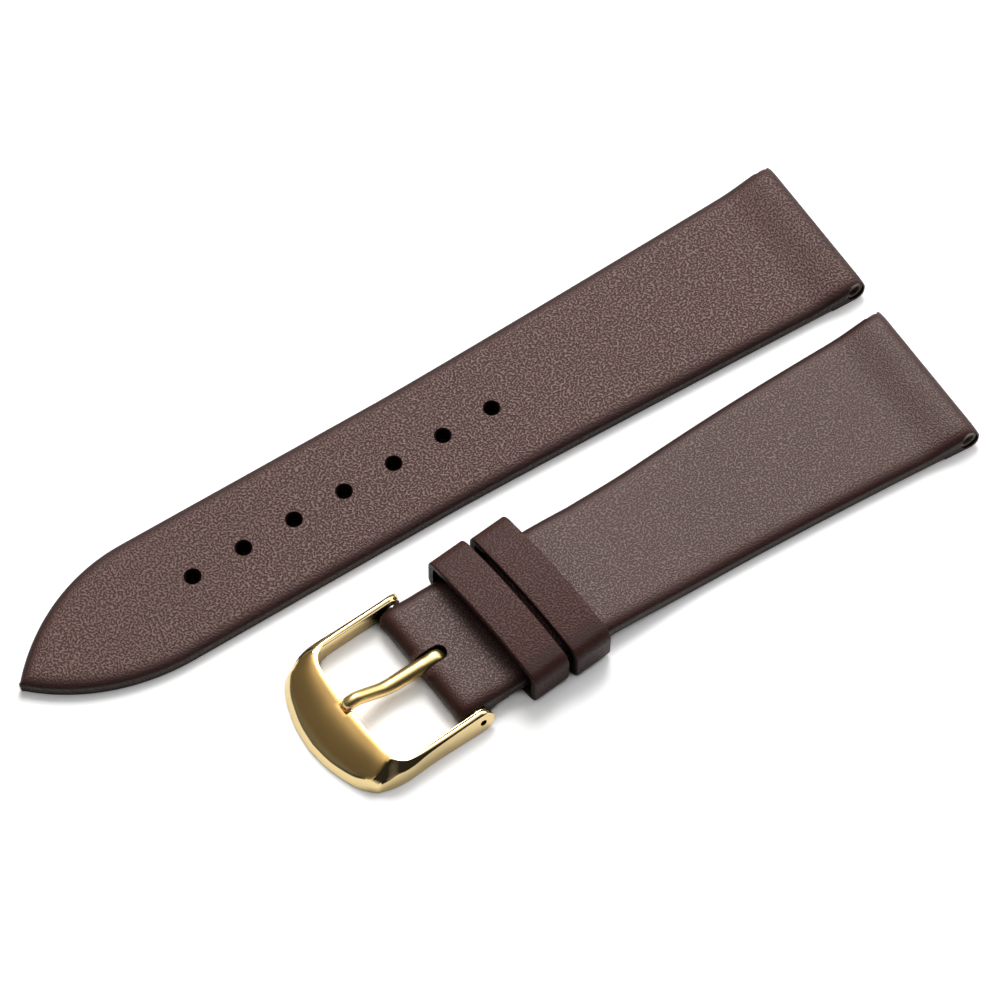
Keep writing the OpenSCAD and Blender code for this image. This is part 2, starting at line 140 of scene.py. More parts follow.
class KeeperSizes(bpy.types.PropertyGroup):
    """Sizes of the keepers"""
    width: size("Keeper width", 5.3, 4, 6.5, "Width of a keeper along the strap, in mm")
    leather: size("Keeper leather", 0.6, 0.4, 0.8, "Outer leather of a keeper, in mm")
    lining: size("Keeper lining", 0.4, 0.3, 0.6, "Lining leather of a keeper, in mm")
    crown: size("Crown", 0.8, 0.2, 1.2, "Rise of a keeper's top to its middle, in mm")
    top_radius: size("Upper corners", 1.8, 1.4, 3, "Radius of a keeper's upper corners, in mm")
    bottom_radius: size("Lower corners", 1.2, 1.1, 1.6,
                        "Radius of a keeper's lower corners, in mm")
    twist: size("Twist", 1.8, 0, 3, "How much further a keeper sits askew than the bar, in degrees")


class BuckleSizes(bpy.types.PropertyGroup):
    """Sizes of the buckle's arms and tongue"""
    end_radius: size("Arm end radius", 1.65, 1.3, 1.7, "Radius of an arm's round end, in mm")
    wire: size("Tongue wire", 1.8, 1.5, 2, "Diameter of the tongue's wire, in mm")
    root_swell: size("Tongue root swell", 0.15, 0, 0.2,
                     "How much further the tongue reaches to each side near its root, in mm")


class Finishes(bpy.types.PropertyGroup):
    """Colours of the leathers, the plating, the steel and the tape"""
    calf: colour("Tail calf", "#6f4c44", "Raised grain of the tail's calf")
    calf_pore: colour("Tail pores", "#341d18", "Hollows of the tail's grain")
    side: colour("Buckle side calf", "#634139", "Raised grain of the buckle side's calf")
    side_pore: colour("Buckle side pores", "#371f19", "Hollows of the buckle side's grain")
    keeper: colour("Keeper calf", "#502d27", "Smoother calf of the keepers")
    keeper_pore: colour("Keeper pores", "#371b15", "Hollows of the keepers' grain")
    # Stretched calf, and painted shade, where the leather rolls or bends round an end.
    calf_bend: colour("Bent calf", "#371813", "Stretched calf where it bends round an end")
    calf_edge: colour("Painted edge", "#2a1813", "Dark painted edges and rolled ends")
    lining: colour("Lining", "#8d7b6a", "Lining leather")
    gold: colour("Gold plate", "#f4daa0", "Polished plating of the buckle")
    # Darker and browner than the polished plate: painted shade.
    satin: colour("Satin gold plate", "#d4ad6c", "Blasted face of the buckle's front")
    wire: colour("Tongue plate", "#f3d592", "Plating of the tongue")
    steel: colour("Bar steel", "#c3c4c6", "Spring bar")
    tape: colour("Tape", "#77716a", "Reinforcing tape round the lug bores")


def ease(t):
    """Runs from 0 to 1 as t does, with a soft start and a soft end."""
    t = min(1.0, max(0.0, t))
    return t * t * (3 - 2 * t)


def spread(a, b, n):
    """Numbers from a to b in n even steps."""
    return [a + (b - a) * i / n for i in range(n + 1)]


def round_end(d, r):
    """Half height of a round end of radius r, at a distance d from its outermost point."""
    return math.sqrt(max(0.0, r * r - max(0.0, r - d) ** 2))


def bent_grid(columns, rows, place, finish=None):
    """A flat grid whose point (i, j) is moved to place(i, j), in mm. Where place gives a
    fourth number, the point keeps it in the attribute named edge. finish(i, j) gives the
    material slot of the face that starts at that point."""
    bm = bmesh.new()
    bmesh.ops.create_grid(bm, x_segments=columns, y_segments=rows, size=1)
    edge = bm.verts.layers.float.new("edge")
    if finish:
        for f in bm.faces:
            c = f.calc_center_median()
            f.material_index = finish(int((c.x + 1) / 2 * columns), int((c.y + 1) / 2 * rows))
    for v in bm.verts:
        i = round((v.co.x + 1) / 2 * columns)
        j = round((v.co.y + 1) / 2 * rows)
        x, y, z, *edge_value = place(i, j)
        v.co = Vector((x, y, z)) * MM
        v[edge] = edge_value[0] if edge_value else 0.0
    return bm


def close_up(bm):
    """Welds the seam of a bent grid, fills its ends and turns its faces outwards."""
    bmesh.ops.remove_doubles(bm, verts=bm.verts, dist=1e-7)
    bmesh.ops.dissolve_degenerate(bm, dist=1e-7, edges=bm.edges)
    rim = [e for e in bm.edges if e.is_boundary]
    if rim:
        bmesh.ops.holes_fill(bm, edges=rim, sides=0)
    bmesh.ops.recalc_face_normals(bm, faces=bm.faces)
    return bm


def loft(rings, finish=None):
    """A solid through a list of rings, which have the same number of points each."""
    n = len(rings[0])
    return close_up(bent_grid(len(rings) - 1, n, lambda i, j: rings[i][j % n], finish))


def piece(name, bm, crease=35, materials=()):
    """Makes the finished object, with smooth shading that stops at its creases."""
    mesh = bpy.data.meshes.new(name)
    bm.to_mesh(mesh)
    bm.free()
    for p in mesh.polygons:
        p.use_smooth = True
    mesh.set_sharp_from_angle(angle=math.radians(crease))
    for m in materials:
        mesh.materials.append(m)
    obj = bpy.data.objects.new(name, mesh)
    bpy.context.scene.collection.objects.link(obj)
    return obj


def settle(obj, crease=35):
    """Applies the modifiers of a piece and drops them."""
    graph = bpy.context.evaluated_depsgraph_get()
    mesh = bpy.data.meshes.new_from_object(obj.evaluated_get(graph))
    obj.modifiers.clear()
    old, obj.data = obj.data, mesh
    mesh.name = obj.name
    bpy.data.meshes.remove(old)
    for p in mesh.polygons:
        p.use_smooth = True
    mesh.set_sharp_from_angle(angle=math.radians(crease))


def cut(obj, cutters, crease=35):
    """Cuts closed meshes out of a piece and gives the new walls dark edge dye, near black as
    painted shade. The cutters are used up.
    """
    whole = bmesh.new()
    for bm in cutters:
        part = bpy.data.meshes.new("cutter")
        bm.to_mesh(part)
        bm.free()
        whole.from_mesh(part)
        bpy.data.meshes.remove(part)
    tool = piece("cutter", whole, materials=[shared(edge_dye_and_shade, "edge paint")])
    modifier = obj.modifiers.new("cut", "BOOLEAN")
    modifier.operation = "DIFFERENCE"
    modifier.solver = "EXACT"
    # The tongue's slot and the bar's way cross each other in one cutter.
    modifier.use_self = True
    modifier.material_mode = "TRANSFER"
    modifier.object = tool
    settle(obj, crease)
    bpy.data.objects.remove(tool)


def turned(profile, at, axis, steps=40):
    """A turned shape: the profile's (radius, distance along the axis) spun about it."""
    bm = bmesh.new()
    turn = axis.normalized().to_track_quat("Z", "X").to_matrix().to_4x4()
    verts = [bm.verts.new(Vector((r, 0, z)) * MM) for r, z in profile]
    edges = [bm.edges.new(pair) for pair in zip(verts, verts[1:] + verts[:1])]
    bmesh.ops.spin(bm, geom=verts + edges, cent=(0, 0, 0), axis=(0, 0, 1), angle=2 * math.pi,
                   steps=steps, use_merge=True)
    bmesh.ops.remove_doubles(bm, verts=bm.verts, dist=1e-7)
    bmesh.ops.dissolve_degenerate(bm, dist=1e-7, edges=bm.edges)
    bmesh.ops.delete(bm, geom=[e for e in bm.edges if not e.link_faces], context="EDGES")
    bmesh.ops.transform(bm, matrix=Matrix.Translation(Vector(at) * MM) @ turn, verts=bm.verts)
    bmesh.ops.recalc_face_normals(bm, faces=bm.faces)
    return bm


def rod(radius, half, at, axis, steps):
    """A plain round cutter that reaches half its length to each side of a point."""
    return turned([(0, -half), (radius, -half), (radius, half), (0, half)], at, axis, steps)


def swept(line, radii, sides=24):
    """Rings of a round bar along a line of (x, z) points in the plane y = 0, with a half
    width and a half height at each point."""
    rings = []
    for k, (x, z) in enumerate(line):
        a, b = line[max(0, k - 1)], line[min(len(line) - 1, k + 1)]
        tangent = Vector((b[0] - a[0], b[1] - a[1])).normalized()
        wide, high = radii[k]
        ring = []
        for j in range(sides):
            t = 2 * math.pi * j / sides
            lift = high * math.sin(t)
            ring.append((x - tangent.y * lift, wide * math.cos(t), z + tangent.x * lift))
        rings.append(ring)
    return rings


def onto_bar(point):
    """A point given along, across and above the bar, on the table's axes."""
    return BAR + ALONG * -point[0] + ACROSS * point[1] + UP * point[2]


# The two halves

def flare(s, narrow, wide, run, power):
    """Half width at s of a half that widens towards its lug end."""
    return narrow / 2 + (wide - narrow) / 2 * max(0.0, 1 - s / run) ** power


def tail_half(s):
    """Half width of the tail: flared, then drawn in by two arcs to a blunt point."""
    z = bpy.context.scene.strap_sizes
    d = s - (TAIL_LENGTH - z.tip_length)
    if d <= 0:
        return flare(s, z.tail_width, z.lug_width, z.tail_flare, 1.2)
    r = ((z.tail_width / 2) ** 2 + z.tip_length ** 2) / z.tail_width
    half = max(z.tail_width / 2 - r + math.sqrt(max(0.0, r * r - d * d)), 0.3)
    blunt, left = 0.55, max(0.0, TAIL_LENGTH - s)
    return half if left > blunt else min(half, round_end(left, blunt))


def far_belly(s):
    """How far the buckle side's far edge swells out at s."""
    start, run = 3, 47
    swell = math.sin(math.pi * min(1.0, max(0.0, (s - start) / run)))
    return bpy.context.scene.strap_sizes.belly * swell


def side_half(s):
    """Half width of the buckle side."""
    z = bpy.context.scene.strap_sizes
    return flare(s, z.end_width, z.lug_width, z.side_flare, 1.6) + far_belly(s) / 2


def nose_top(s):
    """Height of a half's top: round at the lug end, then falling to its thickness."""
    z = bpy.context.scene.strap_sizes
    r = z.nose / 2
    if s < r:
        return r + round_end(s, r)
    return z.thickness + (z.nose - z.thickness) * (1 - ease((s - r) / NOSE_SLOPE))


def nose_bottom(s):
    """Height of a half's underside, which is round at the lug end."""
    r = bpy.context.scene.strap_sizes.nose / 2
    return r - round_end(s, r) if s < r else 0.0


def lift(s):
    """How far the buckle side has risen on its way through the keepers."""
    rise, start, run = 1.1, 38.75, 17
    return rise * ease((s - start) / run)


def fold_share(s):
    """How far the buckle side has gone over into the fold's own height, from 0 to 1."""
    run = 3.8
    return ease((s - (BAR_FROM_LUG - run)) / (run - BAR.z / 4))


def fold_round(s):
    """Share of its half height that the fold has left at s, in front of the bar."""
    t = (s - BAR_FROM_LUG) / bpy.context.scene.strap_sizes.fold_reach
    return math.sqrt(max(0.0, 1 - t * t))


def side_top(s):
    """Height of the buckle side's top."""
    if s > BAR_FROM_LUG:
        return BAR.z * (1 + fold_round(s))
    t = fold_share(s)
    return (nose_top(s) + lift(s)) * (1 - t) + 2 * BAR.z * t


def side_bottom(s):
    """Height of the buckle side's underside."""
    if s > BAR_FROM_LUG:
        return BAR.z * (1 - fold_round(s))
    return nose_bottom(s) + lift(s) * (1 - fold_share(s))


class Half:
    """One half of the strap: its plan, its two levels, its rounded end and its sway, which
    shifts it in plan."""

    def __init__(self, lug, length, half, top, bottom, end_corner, sway):
        self.lug, self.length, self.plan, self.end_corner = lug, length, half, end_corner
        self.top, self.bottom, self.sway = top, bottom, sway

    def half(self, s):
        """Half width, drawn in where the corners are rounded in plan."""
        w = self.plan(s)
        for d, r in ((s, LUG_CORNER), (self.length - s, self.end_corner)):
            if d < r:
                w -= r - round_end(d, r)
        return max(w, 0.0)

    def slope(self, s):
        """Cosine of the edge's slant, which turns a width into a distance from the edge."""
        a, b = max(1.0, s - 0.1), min(self.length - 0.3, s + 0.1)
        return math.cos(math.atan2(self.plan(b) - self.plan(a), b - a)) if b > a else 1.0

    def level(self, s, y):
        """Height of the rolled top at a distance y from the centreline."""
        z = bpy.context.scene.strap_sizes
        top, bottom = self.top(s), self.bottom(s)
        d = max(0.0, (self.half(s) - abs(y)) * self.slope(s))
        depth = z.roll_depth * min(1.2, (top - bottom) / z.thickness)
        t = max(0.0, 1 - d / z.roll_width)
        return top - depth * (1 - math.sqrt(max(0.0, 1 - t * t)))

    def edge_value(self, s, y, end_band):
        """1 at the painted edges, falling to 0 where the grain is whole."""
        band = 2.6
        d = (self.half(s) - abs(y)) * self.slope(s)
        d = min(d, s * 0.9, (self.length - s) / end_band)
        return max(0.0, 1 - d / band)

    def bore(self):
        """Middle of the lug bore."""
        r = bpy.context.scene.strap_sizes.nose / 2
        return self.lug.x - r, self.lug.y, r

    def at(self, s, y, z, *edge_value):
        """A point of the half on the table's axes, with its edge value where that is given."""
        dx, dy = self.sway(s, y)
        return (self.lug.x - s + dx, self.lug.y + y + dy, z, *edge_value)


def tail():
    """The tail half, whose point leans to the near side."""
    z = bpy.context.scene.strap_sizes

    def lean(s, y):
        past = max(0.0, (s - TAIL_LENGTH + z.tip_length) / z.tip_length)
        return 0.0, -z.tip_lean * past ** 2

    return Half(TAIL_LUG, TAIL_LENGTH, tail_half, nose_top, nose_bottom, 0.01, lean)


def buckle_side():
    """The buckle side half, whose last 9 mm turn askew with the bar."""
    def follow_bar(s, y):
        return y * ACROSS.x / ACROSS.y * ease((s - BAR_FROM_LUG + 9) / 9), far_belly(s) / 2

    reach = bpy.context.scene.strap_sizes.fold_reach
    return Half(SIDE_LUG, BAR_FROM_LUG + reach, side_half, side_top, side_bottom, 1.3, follow_bar)


def stations(half, start, end):
    """Distances from the lug end, close together where the leather curves."""
    r = bpy.context.scene.strap_sizes.nose / 2
    foot, shaped, rounded = r + NOSE_SLOPE, half.length - 22, half.length - 2
    turns = [math.radians(a) for a in range(0, 91, 9)]
    marks = [r * (1 - math.cos(a)) for a in turns] + spread(r, foot, 14)
    marks += spread(foot, shaped, 60) + spread(shaped, rounded, 36)
    marks += [half.length - 2 * (1 - math.sin(a)) for a in turns]
    inner = sorted({round(s, 4) for s in marks if start < s < end})
    return [start] + inner + [end]


# Distances from the edge at which the rolled top is drawn, in millimetres.
EDGE_STEPS = (0, 0.08, 0.2, 0.36, 0.58, 0.86, 1.2, 1.6, 2.1, 2.7, 3.4)


def across(half):
    """Places across a half, from its centreline out, crowded at the rolled edge."""
    squeeze = min(1.0, half / 4.4)
    inner = half - EDGE_STEPS[-1] * squeeze
    return [inner * k / 5 for k in range(6)] + [half - e * squeeze for e in EDGE_STEPS[-2::-1]]


def upper_ring(h, s, raised, hollow, end_band):
    """Ring of the upper: over the top, down the edge, and back under it or inside it."""
    z = bpy.context.scene.strap_sizes
    w = h.half(s)
    ys = across(w)
    ys = [-y for y in reversed(ys)] + ys[1:]
    ring = [h.at(s, y, h.level(s, y), h.edge_value(s, y, end_band)) for y in ys]
    shoulder = h.level(s, w)
    base = h.bottom(s) + (z.lining if raised else 0.0)
    wall = [shoulder + (base - shoulder) * t for t in (0.35, 0.7, 1)]
    inner = (w - z.upper) / w if hollow else 1.0
    roof = [y * inner for y in reversed(ys)]
    ring += [h.at(s, w, v, 1.0) for v in wall] + [h.at(s, roof[0], base, 1.0)]
    for y in roof:
        ring.append(h.at(s, y, max(base, h.level(s, y) - z.upper) if hollow else base, 1.0))
    ring += [h.at(s, roof[-1], base, 1.0)] + [h.at(s, -w, v, 1.0) for v in reversed(wall)]
    return ring


def layer_ring(h, s, inset, low, high):
    """Ring of a flat layer inside or under the upper. A negative high hangs from its top."""
    w = max(0.02, h.half(s) - inset)
    ys = [w * t for t in (-1, -0.96, -0.85, -0.6, -0.3, 0, 0.3, 0.6, 0.85, 0.96, 1)]
    base = h.bottom(s) + low
    tops = [h.bottom(s) + high if high > 0 else max(base + 0.1, h.level(s, y) + high)
            for y in ys]
    # Its cut edge is pale at the lug end and gets darker over 22 mm.
    pale = max(0.0, 1 - s / 22)
    edge_value = [1.0 - pale if abs(y) == w else 0.0 for y in ys]
    ring = [h.at(s, y, v, e) for y, v, e in zip(ys, tops, edge_value)]
    return ring + [h.at(s, y, base, e) for y, e in zip(reversed(ys), reversed(edge_value))]


def make_upper(h, closed, end_on_lining, end_band):
    """The upper: turned under at the lug end, hollow for the filler as far as closed, and
    full from there on, where it lies on the lining or is folded back."""
    rings = []
    for start, end, raised, hollow in ((0, UNDER, False, False), (UNDER, closed, True, True),
                                       (closed, h.length, end_on_lining, False)):
        rings += [upper_ring(h, s, raised, hollow, end_band) for s in stations(h, start, end)]
    return loft(rings)


def make_board(name, h, closed):
    """The filler board that fills the upper's hollow over the lining."""
    z = bpy.context.scene.strap_sizes
    rings = [layer_ring(h, s, z.upper + GLUE, z.lining + GLUE, -z.upper - GLUE)
             for s in stations(h, UNDER + GLUE, closed - GLUE)]
    return piece(name, loft(rings), materials=[shared(bonded_board, "bonded board")])


def make_lining(name, h, end):
    """The lining leather under a half, from the turned-under upper to its end."""
    z = bpy.context.scene.strap_sizes
    rings = [layer_ring(h, s, SET_IN, 0, z.lining - GLUE)
             for s in stations(h, UNDER + GLUE, end)]
    return piece(name, loft(rings), materials=[shared(lining_leather, "lining leather")])


def make_tape(name, h, body, node):
    """The tape sleeve of a lug bore, with softly rounded ends."""
    soft = 0.1
    end = h.plan(bpy.context.scene.strap_sizes.nose / 2) - 0.3
    profile = [(TAPE_INSIDE, soft - end), (TAPE_INSIDE + soft, -end),
               (TAPE_OUTSIDE - soft, -end), (TAPE_OUTSIDE, soft - end)]
    profile += [(r, -along) for r, along in reversed(profile)]
    obj = piece(name, turned(profile, h.bore(), STRAIGHT, 40),
                materials=[shared(woven_tape, "woven tape")])
    return done(obj, body, "reinforcing_tape", node)


def punch(x, y, diameter, top):
    """A punched hole, whose rim is drawn down a little by the punch."""
    r = diameter / 2
    profile = [(0, -1), (r, -1), (r, top - 0.35), (r + 0.03, top - 0.2), (r + 0.1, top - 0.07),
               (r + 0.22, top + 0.02), (r + 0.4, top + 0.3), (0, top + 0.3)]
    return turned(profile, (x, y, 0), UP, 32)


def tail_holes(flared):
    """Cutters of the adjustment holes, with the drawn-down rims or straight."""
    z = bpy.context.scene.strap_sizes
    top = z.thickness if flared else z.thickness + 1
    first = TAIL_LENGTH - z.first_hole
    return [punch(TAIL_LUG.x - (first - k * z.hole_pitch), TAIL_LUG.y, z.hole, top)
            for k in range(z.hole_count)]


def tongue_slot():
    """Cutter of the slot in the fold: a channel along the tongue's way, open in front and
    with a round end past the bar."""
    half, past_bar, reach = 1.08, 1.78, 8
    bm = bmesh.new()
    bmesh.ops.create_circle(bm, segments=48, radius=half * MM, cap_ends=True)
    front = [v for v in bm.verts if v.co.x < 0]
    for v in front:
        v.co.x = -reach * MM
        v.co.y = math.copysign(half * MM, v.co.y) if abs(v.co.y) > 1e-9 else v.co.y
    grown = bmesh.ops.extrude_face_region(bm, geom=bm.faces[:])
    top = [v for v in grown["geom"] if isinstance(v, bmesh.types.BMVert)]
    bmesh.ops.translate(bm, verts=top, vec=(0, 0, reach * MM))
    bmesh.ops.translate(bm, verts=bm.verts,
                        vec=Vector((BAR.x + past_bar - half, BAR.y, -2)) * MM)
    bmesh.ops.remove_doubles(bm, verts=bm.verts, dist=1e-7)
    bmesh.ops.recalc_face_normals(bm, faces=bm.faces)
    return bm


# The keepers

KEEPER_HALF = 10.7       # half width over a keeper's sides, in millimetres
KEEPER_SHIFT = 0.25      # how far the keepers stand nearer the buckle than their solids do
KEEPER_RIM = 0.12        # how far in from its cut edges a keeper is painted


def keeper_outline(inset, steps=10):
    """Closed outline of a keeper, drawn in from its outside, as (across, height)."""
    z = bpy.context.scene.keeper_sizes
    low_box, high_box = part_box("sliding_keeper")
    height = (high_box.z - low_box.z) / MM
    w, low, high = KEEPER_HALF - inset, inset, height - z.crown - inset
    rb, rt = z.bottom_radius - inset, z.top_radius - inset
    # The upper corners stop short of level, where the crown's slope begins.
    lean = math.radians(78)
    pi = math.pi

    def corner(y, v, r, a, b):
        return [(y + r * math.cos(t), v + r * math.sin(t)) for t in spread(a, b, steps)]

    points = corner(-w + rb, low + rb, rb, pi, 1.5 * pi)
    points += [((w - rb) * t, low) for t in spread(-0.8, 0.8, 8)]
    points += corner(w - rb, low + rb, rb, 1.5 * pi, 2 * pi)
    points += corner(w - rt, high - rt, rt, 0, lean)
    points += [((w - rt) * t, high + z.crown * (1 - t * t)) for t in spread(0.93, -0.93, 26)]
    points += corner(-w + rt, high - rt, rt, pi - lean, pi)
    return points


def keeper_layer(node, depth_a, depth_b, half_width, round_r):
    """One layer of a keeper: its section, with round outer edges, led round the outline. Its
    cut edges are painted dark, and down both sides it is darker, partly as bent calf and partly
    as painted shade."""
    low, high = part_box(node)
    centre = (low + high) / 2 / MM - Vector((KEEPER_SHIFT, 0, 0))
    turn = Matrix.Rotation(math.radians(bpy.context.scene.keeper_sizes.twist), 3, "Z")
    along, over = turn @ ALONG, turn @ ACROSS
    floor = low.z / MM if node.endswith("keeper") else low.z / MM - depth_a
    r = round_r
    arc = [(depth_a + r * (1 - math.sin(a)), half_width - r * (1 - math.cos(a)))
           for a in spread(0, math.pi / 2, 4)]
    section = [(depth_b, half_width), ((depth_a + depth_b) / 2 + r / 2, half_width)] + arc
    section += [(depth_a, half_width * t) for t in (0.6, 0.3, 0)]
    section += [(t, -w) for t, w in reversed(section[:-1])]
    section += [(depth_b, half_width * t) for t in (-0.5, 0, 0.5)]
    outlines = {t: keeper_outline(t) for t in {t for t, w in section}}
    count = len(outlines[depth_b])
    rings = []
    for t, w in section:
        ring = []
        for y, v in outlines[t]:
            at = Vector((centre.x, centre.y, floor)) + along * w + over * y + UP * v
            cut_edge = 1.0 if abs(w) > half_width - KEEPER_RIM or t == depth_b else 0.0
            # Painted shade, partly bent calf: the near bend and the far half of the top go darker,
            # smoother.
            near = ease((-y - 6.2) / 2.2) * 0.8
            far = ease((y - 3.5) / 4.5) * 0.55
            ring.append((at.x, at.y, at.z, max(cut_edge, near, far)))
        rings.append(ring)
    n = len(rings)
    return close_up(bent_grid(n, count, lambda i, j: rings[i % n][j % count]))


# The buckle

def smooth_keys(keys, extra):
    """Fills in rows between key rows, on a smooth curve through them."""
    rows = []
    for k in range(len(keys) - 1):
        a, b = keys[max(0, k - 1)], keys[k]
        c, d = keys[k + 1], keys[min(len(keys) - 1, k + 2)]
        for i in range(extra):
            t = i / extra
            rows.append([0.5 * (2 * q + (r - p) * t + (2 * p - 5 * q + 4 * r - s) * t * t
                                + (3 * q - p - 3 * r + s) * t ** 3)
                         for p, q, r, s in zip(a, b, c, d)])
    rows.append(list(keys[-1]))
    return rows


# Half of the frame from an arm to the middle of the front, as seen in the photograph.
# Each row is a cut through it: the window's edge, the polished bevel's outer line, the
# outer line of the face, and the outline, each with its distance in front of the bar, its
# distance from the middle and its height over the bar. The last number tells how round
# the strip between face and outline is.
FRAME_KEYS = [
    (0.8, 9.1, 1.34, 0.8, 9.24, 1.45, 0.8, 9.86, 1.47, 0.8, 10.0, 1.36, 0.1),
    (2.2, 9.1, 1.3, 2.2, 9.24, 1.41, 2.2, 9.86, 1.44, 2.2, 10.0, 1.33, 0.1),
    (5.0, 9.1, 1.28, 5.0, 9.25, 1.4, 5.0, 9.88, 1.42, 5.0, 10.03, 1.3, 0.1),
    (8.2, 9.1, 1.26, 8.2, 9.28, 1.41, 8.2, 9.86, 1.4, 8.2, 10.12, 1.2, 0.1),
    (9.6, 9.08, 1.28, 9.6, 9.32, 1.47, 9.7, 9.76, 1.43, 10.0, 10.25, 1.02, 0.05),
    (10.5, 8.92, 1.3, 10.65, 9.3, 1.58, 10.8, 9.5, 1.56, 11.3, 10.25, 0.95, 0.0),
    (11.2, 8.45, 1.38, 11.5, 8.8, 1.67, 11.7, 8.9, 1.64, 12.5, 10.12, 0.85, 0.0),
    (11.7, 7.7, 1.43, 12.0, 8.0, 1.72, 12.7, 8.2, 1.52, 13.5, 9.9, 0.5, 0.0),
    (11.95, 7.0, 1.46, 12.3, 7.2, 1.75, 14.2, 8.5, 1.02, 14.5, 9.55, -0.1, 0.1),
    (12.05, 6.2, 1.47, 12.43, 6.3, 1.75, 15.6, 8.35, 0.42, 15.6, 9.05, -0.6, 0.35),
    (12.15, 5.0, 1.48, 12.55, 5.05, 1.76, 16.35, 6.6, 0.1, 16.85, 7.1, -0.8, 0.8),
    (12.25, 3.4, 1.48, 12.65, 3.4, 1.77, 17.1, 4.2, -0.12, 17.75, 4.5, -0.85, 0.9),
    (12.28, 1.9, 1.48, 12.68, 1.9, 1.77, 17.5, 2.3, -0.2, 18.2, 2.4, -0.85, 0.9),
    (12.3, 0.0, 1.48, 12.7, 0.0, 1.77, 17.65, 0.0, -0.25, 18.4, 0.0, -0.85, 0.9),
]

# On the far side the satin face runs on into the corner, so its outer line lies further out.
FAR_FACE = {6: (12.0, 9.6, 1.4), 7: (13.15, 9.55, 1.05), 8: (14.2, 9.2, 0.72),
            9: (15.3, 8.5, 0.42)}


# The key row at which the satin face starts on each side, counted from 0, and the number of
# steps in which the frame is drawn from one key row to the next.
SATIN_FROM_NEAR, SATIN_FROM_FAR, FILL = 7, 6, 6

# Points of a cut through the frame, counted from its underside at the window: those at which
# a strip of the satin face starts, and those of its outside.
FACE = range(5, 14)
OUTSIDE = range(18, 22)


def frame_keys(far):
    """The key rows of one half of the frame."""
    rows = [list(row) for row in FRAME_KEYS]
    if far:
        for k, point in FAR_FACE.items():
            rows[k][6:9] = point
    return rows


def underside(p):
    """Height of the frame's underside at a distance p in front of the bar: 1.65 mm under it
    at the arms' ends, and down on the table from 8.75 mm on."""
    return -1.65 - (BAR.z - 1.65) * ease(p / 8.75)


def frame_ring(row, side):
    """One cut through the frame, from its underside over the face and down the outside."""
    (ip, iq, iz, jp, jq, jz, kp, kq, kz, lp, lq, lz, roundness) = row
    low = underside(ip)
    slope = 0.58 - 0.28 * ease(lp / 9)
    ring = [(ip, iq, low + 0.12), (ip, iq, low + (iz - low) * 0.5), (ip, iq, iz)]
    ring += [(ip + (jp - ip) * a, iq + (jq - iq) * a, iz + (jz - iz) * b)
             for a, b in ((0.12, 0.5), (0.45, 0.88), (1, 1))]
    width = math.hypot(kp - jp, kq - jq)
    for k in range(1, 9):
        t = k / 9
        swell = (0.13 if width < 1 else 0.07) * width * math.sin(math.pi * t)
        ring.append((jp + (kp - jp) * t, jq + (kq - jq) * t, jz + (kz - jz) * t + swell))
    ring.append((kp, kq, kz))
    for t in (0.25, 0.5, 0.75, 1):
        bulge = 0.15 * roundness * math.sin(math.pi * t)
        ring.append((kp + (lp - kp) * t + bulge * 0.6, kq + (lq - kq) * t,
                     kz + (lz - kz) * t + bulge))
    out_p, out_q = lp - kp, lq - kq
    norm = math.hypot(out_p, out_q) or 1
    for t in (0.3, 0.65, 1):
        v = lz + (low + 0.15 - lz) * t
        ring.append((lp + slope * t * out_p / norm, lq + slope * t * out_q / norm, v))
    ring.append((lp + (slope - 0.2) * out_p / norm, lq + (slope - 0.2) * out_q / norm, low))
    ring += [(ip + (lp - ip) * t, iq + (lq - iq) * t, low) for t in (0.66, 0.33)]
    ring.append((ip + 0.12 * out_p / norm, iq + 0.12 * out_q / norm, low))
    return [(p, side * q, v) for p, q, v in ring]


def arm_end_ring(angle, side):
    """A cut through the arm's round end, whose height is that of a circle round the bar. Its
    outside leans out a little towards the bottom."""
    z = bpy.context.scene.buckle_sizes
    r = z.end_radius
    p = -r * math.cos(angle)
    h = r * math.sin(angle)
    row = list(FRAME_KEYS[0])
    for k in (0, 3, 6, 9):
        row[k] = p + (0.25 if k < 6 and p < 0 else 0.0) * math.cos(angle)
    for k in (2, 5, 8, 11):
        row[k] *= math.sin(angle)
    low = underside(p)
    ring = []
    for j, (p, q, v) in enumerate(frame_ring(row, side)):
        v = v if v > 0 else v * h / -low
        ring.append((p, side * (10.0 + 0.2 * (1.4 - v)) if j in OUTSIDE else q, v))
    return ring


